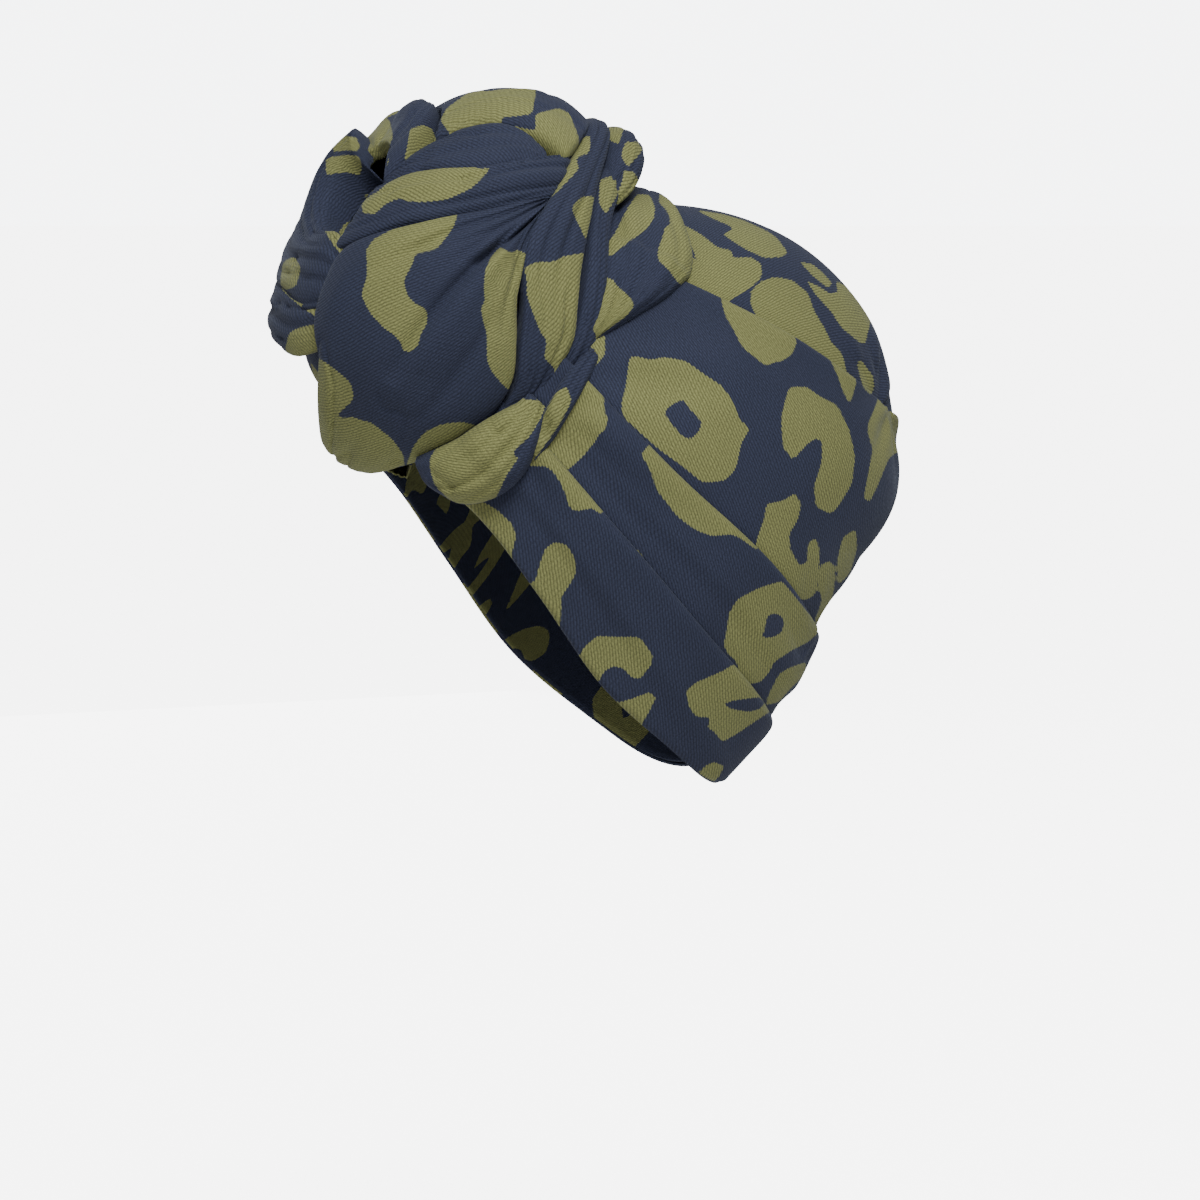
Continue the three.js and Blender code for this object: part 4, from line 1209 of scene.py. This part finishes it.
def fold_sheet(name, rows, form):
    """A padded fold of the knot or its foot, over the form that form(turn, slope, lift) gives."""
    table = np.array(rows, float)
    row_places = np.arange(len(rows)) / (len(rows) - 1)
    seed = sum(ord(letter) for letter in name)

    def place(u, v):
        turn_a, slope_a, turn_b, slope_b, crest = (
            curve_read(row_places, table[:, column], u) for column in range(5)
        )
        angle = (2 * v - 1) * math.radians(TUCK_ANGLE)
        across = np.sign(np.sin(angle)) * np.abs(np.sin(angle)) ** FOLD_FLATNESS
        arch = np.cos(angle)
        ends = smooth_step(0, FOLD_ENDS, np.minimum(u, 1 - u) + FOLD_END_HEIGHT)
        height = crest * KNOT_FRONT * np.abs(arch) ** FOLD_FULLNESS * ends
        height = np.where(arch > 0, height, -FOLD_TUCK * np.abs(arch) / TUCK_ARCH)
        for start, end, from_side, to_side, width, rise in FOLD_WRINKLES.get(name, []):
            share = np.clip((u - start) / (end - start), 0, 1)
            middle = from_side + (to_side - from_side) * share
            window = np.clip(4 * share * (1 - share), 0, 1) ** WRINKLE_FADE
            height += rise * window * np.exp(-(((across - middle) / width) ** 2)) * (arch > 0)
        share = 0.5 + 0.5 * across
        turn = turn_a + (turn_b - turn_a) * share
        slope = slope_a + (slope_b - slope_a) * share
        bare = form(turn, slope, np.zeros_like(height))
        outer = np.clip(arch, 0, 1) ** RELIEF_FADE
        streaks = np.stack([u * STREAK_GRAIN[0], across * STREAK_GRAIN[1], 0 * u], axis=-1)
        height += STREAK * soft_noise(streaks, 1.0, seed) * outer
        height += FOLD_RIPPLE * soft_noise(bare, FOLD_RIPPLE_SIZE, seed + 1)
        creases = np.stack([u * CREASE_GRAIN[0], across * CREASE_GRAIN[1], 0 * u], axis=-1)
        sharp = (1 - np.abs(soft_noise(creases, 1.0, seed + 2))) ** SHARPNESS
        height -= CREASING * sharp * outer
        return form(turn, slope, height)

    probe = place(*np.meshgrid(np.linspace(0, 1, 40), np.linspace(0, 1, 30), indexing="ij"))
    length = np.linalg.norm(np.diff(probe, axis=0), axis=-1).sum(axis=0).max()
    width = np.linalg.norm(np.diff(probe, axis=1), axis=-1).sum(axis=1).max()
    grid = int(length / FOLD_SPACING), int(width / FOLD_SPACING)
    piece, flat, area = cloth_grid(name, *grid, place)
    finish_cloth(piece)
    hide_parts(name)
    return piece


def knot_filling():
    """The inner turns of the coil, which show only in the gaps between the folds."""

    def side(turn, slope):
        coils = np.sin(np.radians(turn * CORE_COILS[0] + slope * CORE_COILS[1]))
        height = -CORE_DEPTH + CORE_RIPPLE * np.sqrt(np.abs(coils))
        return knot_point(turn, slope, height)

    all_turns = np.arange(0.0, 360.0 + CORE_STEP / 2, CORE_STEP)
    all_slopes = np.arange(CORE_START, CORE_END)
    tried = side(*np.meshgrid(all_turns, all_slopes, indexing="ij"))
    sunk = np.linalg.norm(clear_of_head(tried, CORE_LIFT) - tried, axis=-1) > TOUCH
    feet = np.where(sunk.any(axis=1), all_slopes[np.argmax(sunk, axis=1)], CORE_END)

    def place(u, v):
        turn = 360 * u
        foot = np.interp(turn, all_turns, feet)
        share = np.clip(v / CORE_SIDE, 0, 1)
        points = side(turn, CORE_START + (foot - CORE_START) * share)
        inward = CORE_INWARD * np.clip((v - CORE_SIDE) / (1 - CORE_SIDE), 0, 1)
        return clear_of_head(points + (KNOT_CENTRE - points) * inward[..., None], CORE_LIFT)

    piece, _, _ = cloth_grid("knot_core", *CORE_GRID, place, closed=True)
    pick(piece)
    bpy.ops.object.mode_set(mode="EDIT")
    bpy.ops.mesh.select_all(action="DESELECT")
    bpy.ops.mesh.select_non_manifold()
    bpy.ops.mesh.edge_face_add()
    bpy.ops.object.mode_set(mode="OBJECT")
    give_finish(piece)
    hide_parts("knot_core")


# Stage

FLOOR_SIZE = 60
FLOOR_HEIGHT = -0.4
FLOOR_LOOK = 5.9
FLOOR_PAINT = (0.8, 0.8, 0.8, 1)
WHITE = (1, 1, 1, 1)
SKY_TINT = (0.97, 0.985, 1, 1)
SKY_LIGHT = 0.24
SKY_LOOK = 6.4

# Lights: azimuth and elevation in degrees, distance and size in metres, watts
LIGHTS = {
    "key": (82, 46, 2.0, 0.7, 50),
    "fill": (30, 50, 2.2, 1.6, 12),
    "far": (275, 12, 2.2, 1.8, 14),
    "back": (215, 45, 2.2, 1.2, 7),
}


def bright_to_camera(tree, light, look):
    """A strength that is look where the camera sees it and light where it lights the cloth."""
    path = node(tree, "ShaderNodeLightPath", (-600, 0))
    mix = node(tree, "ShaderNodeMapRange", (-300, 0))
    mix.inputs["To Min"].default_value = light
    mix.inputs["To Max"].default_value = look
    tree.links.new(path.outputs["Is Camera Ray"], mix.inputs["Value"])
    return mix.outputs["Result"]


def make_stage():
    deselect_all()
    bpy.ops.mesh.primitive_plane_add(size=FLOOR_SIZE, location=(0, 0, FLOOR_HEIGHT))
    floor = bpy.context.object
    floor.name = "floor"
    pale = bpy.data.materials.new("pale_floor")
    pale.use_nodes = True
    shader = pale.node_tree.nodes["Principled BSDF"]
    shader.inputs["Base Color"].default_value = FLOOR_PAINT
    shader.inputs["Roughness"].default_value = 0.9
    shader.inputs["Emission Color"].default_value = WHITE
    glow = bright_to_camera(pale.node_tree, 0, FLOOR_LOOK)
    pale.node_tree.links.new(glow, shader.inputs["Emission Strength"])
    floor.data.materials.append(pale)
    world = bpy.data.worlds.new("studio")
    world.use_nodes = True
    sky = world.node_tree.nodes["Background"]
    sky.inputs["Color"].default_value = SKY_TINT
    glow = bright_to_camera(world.node_tree, SKY_LIGHT, SKY_LOOK)
    world.node_tree.links.new(glow, sky.inputs["Strength"])
    bpy.context.scene.world = world
    for name, settings in LIGHTS.items():
        soft_light(name, *settings)


def soft_light(name, azimuth, elevation, distance, size, watts):
    data = bpy.data.lights.new(name, "AREA")
    data.size = size
    data.energy = watts
    light = bpy.data.objects.new(name, data)
    bpy.context.collection.objects.link(light)
    place = Vector(direction(math.radians(azimuth), math.radians(elevation)) * distance)
    light.location = place
    light.rotation_mode = "QUATERNION"
    light.rotation_quaternion = place.to_track_quat("Z", "Y")


make_camera()
make_stage()
printed_cloth = make_printed_cloth()
solids = solid_shapes()
cap_sheet()
for wrap in WRAPS:
    wrap_sheet(wrap)
for fold, rows in KNOT_FOLDS.items():
    fold_sheet(fold, rows, knot_point)
for fold, rows in FOOT_FOLDS.items():
    fold_sheet(fold, rows, foot_point)
knot_filling()
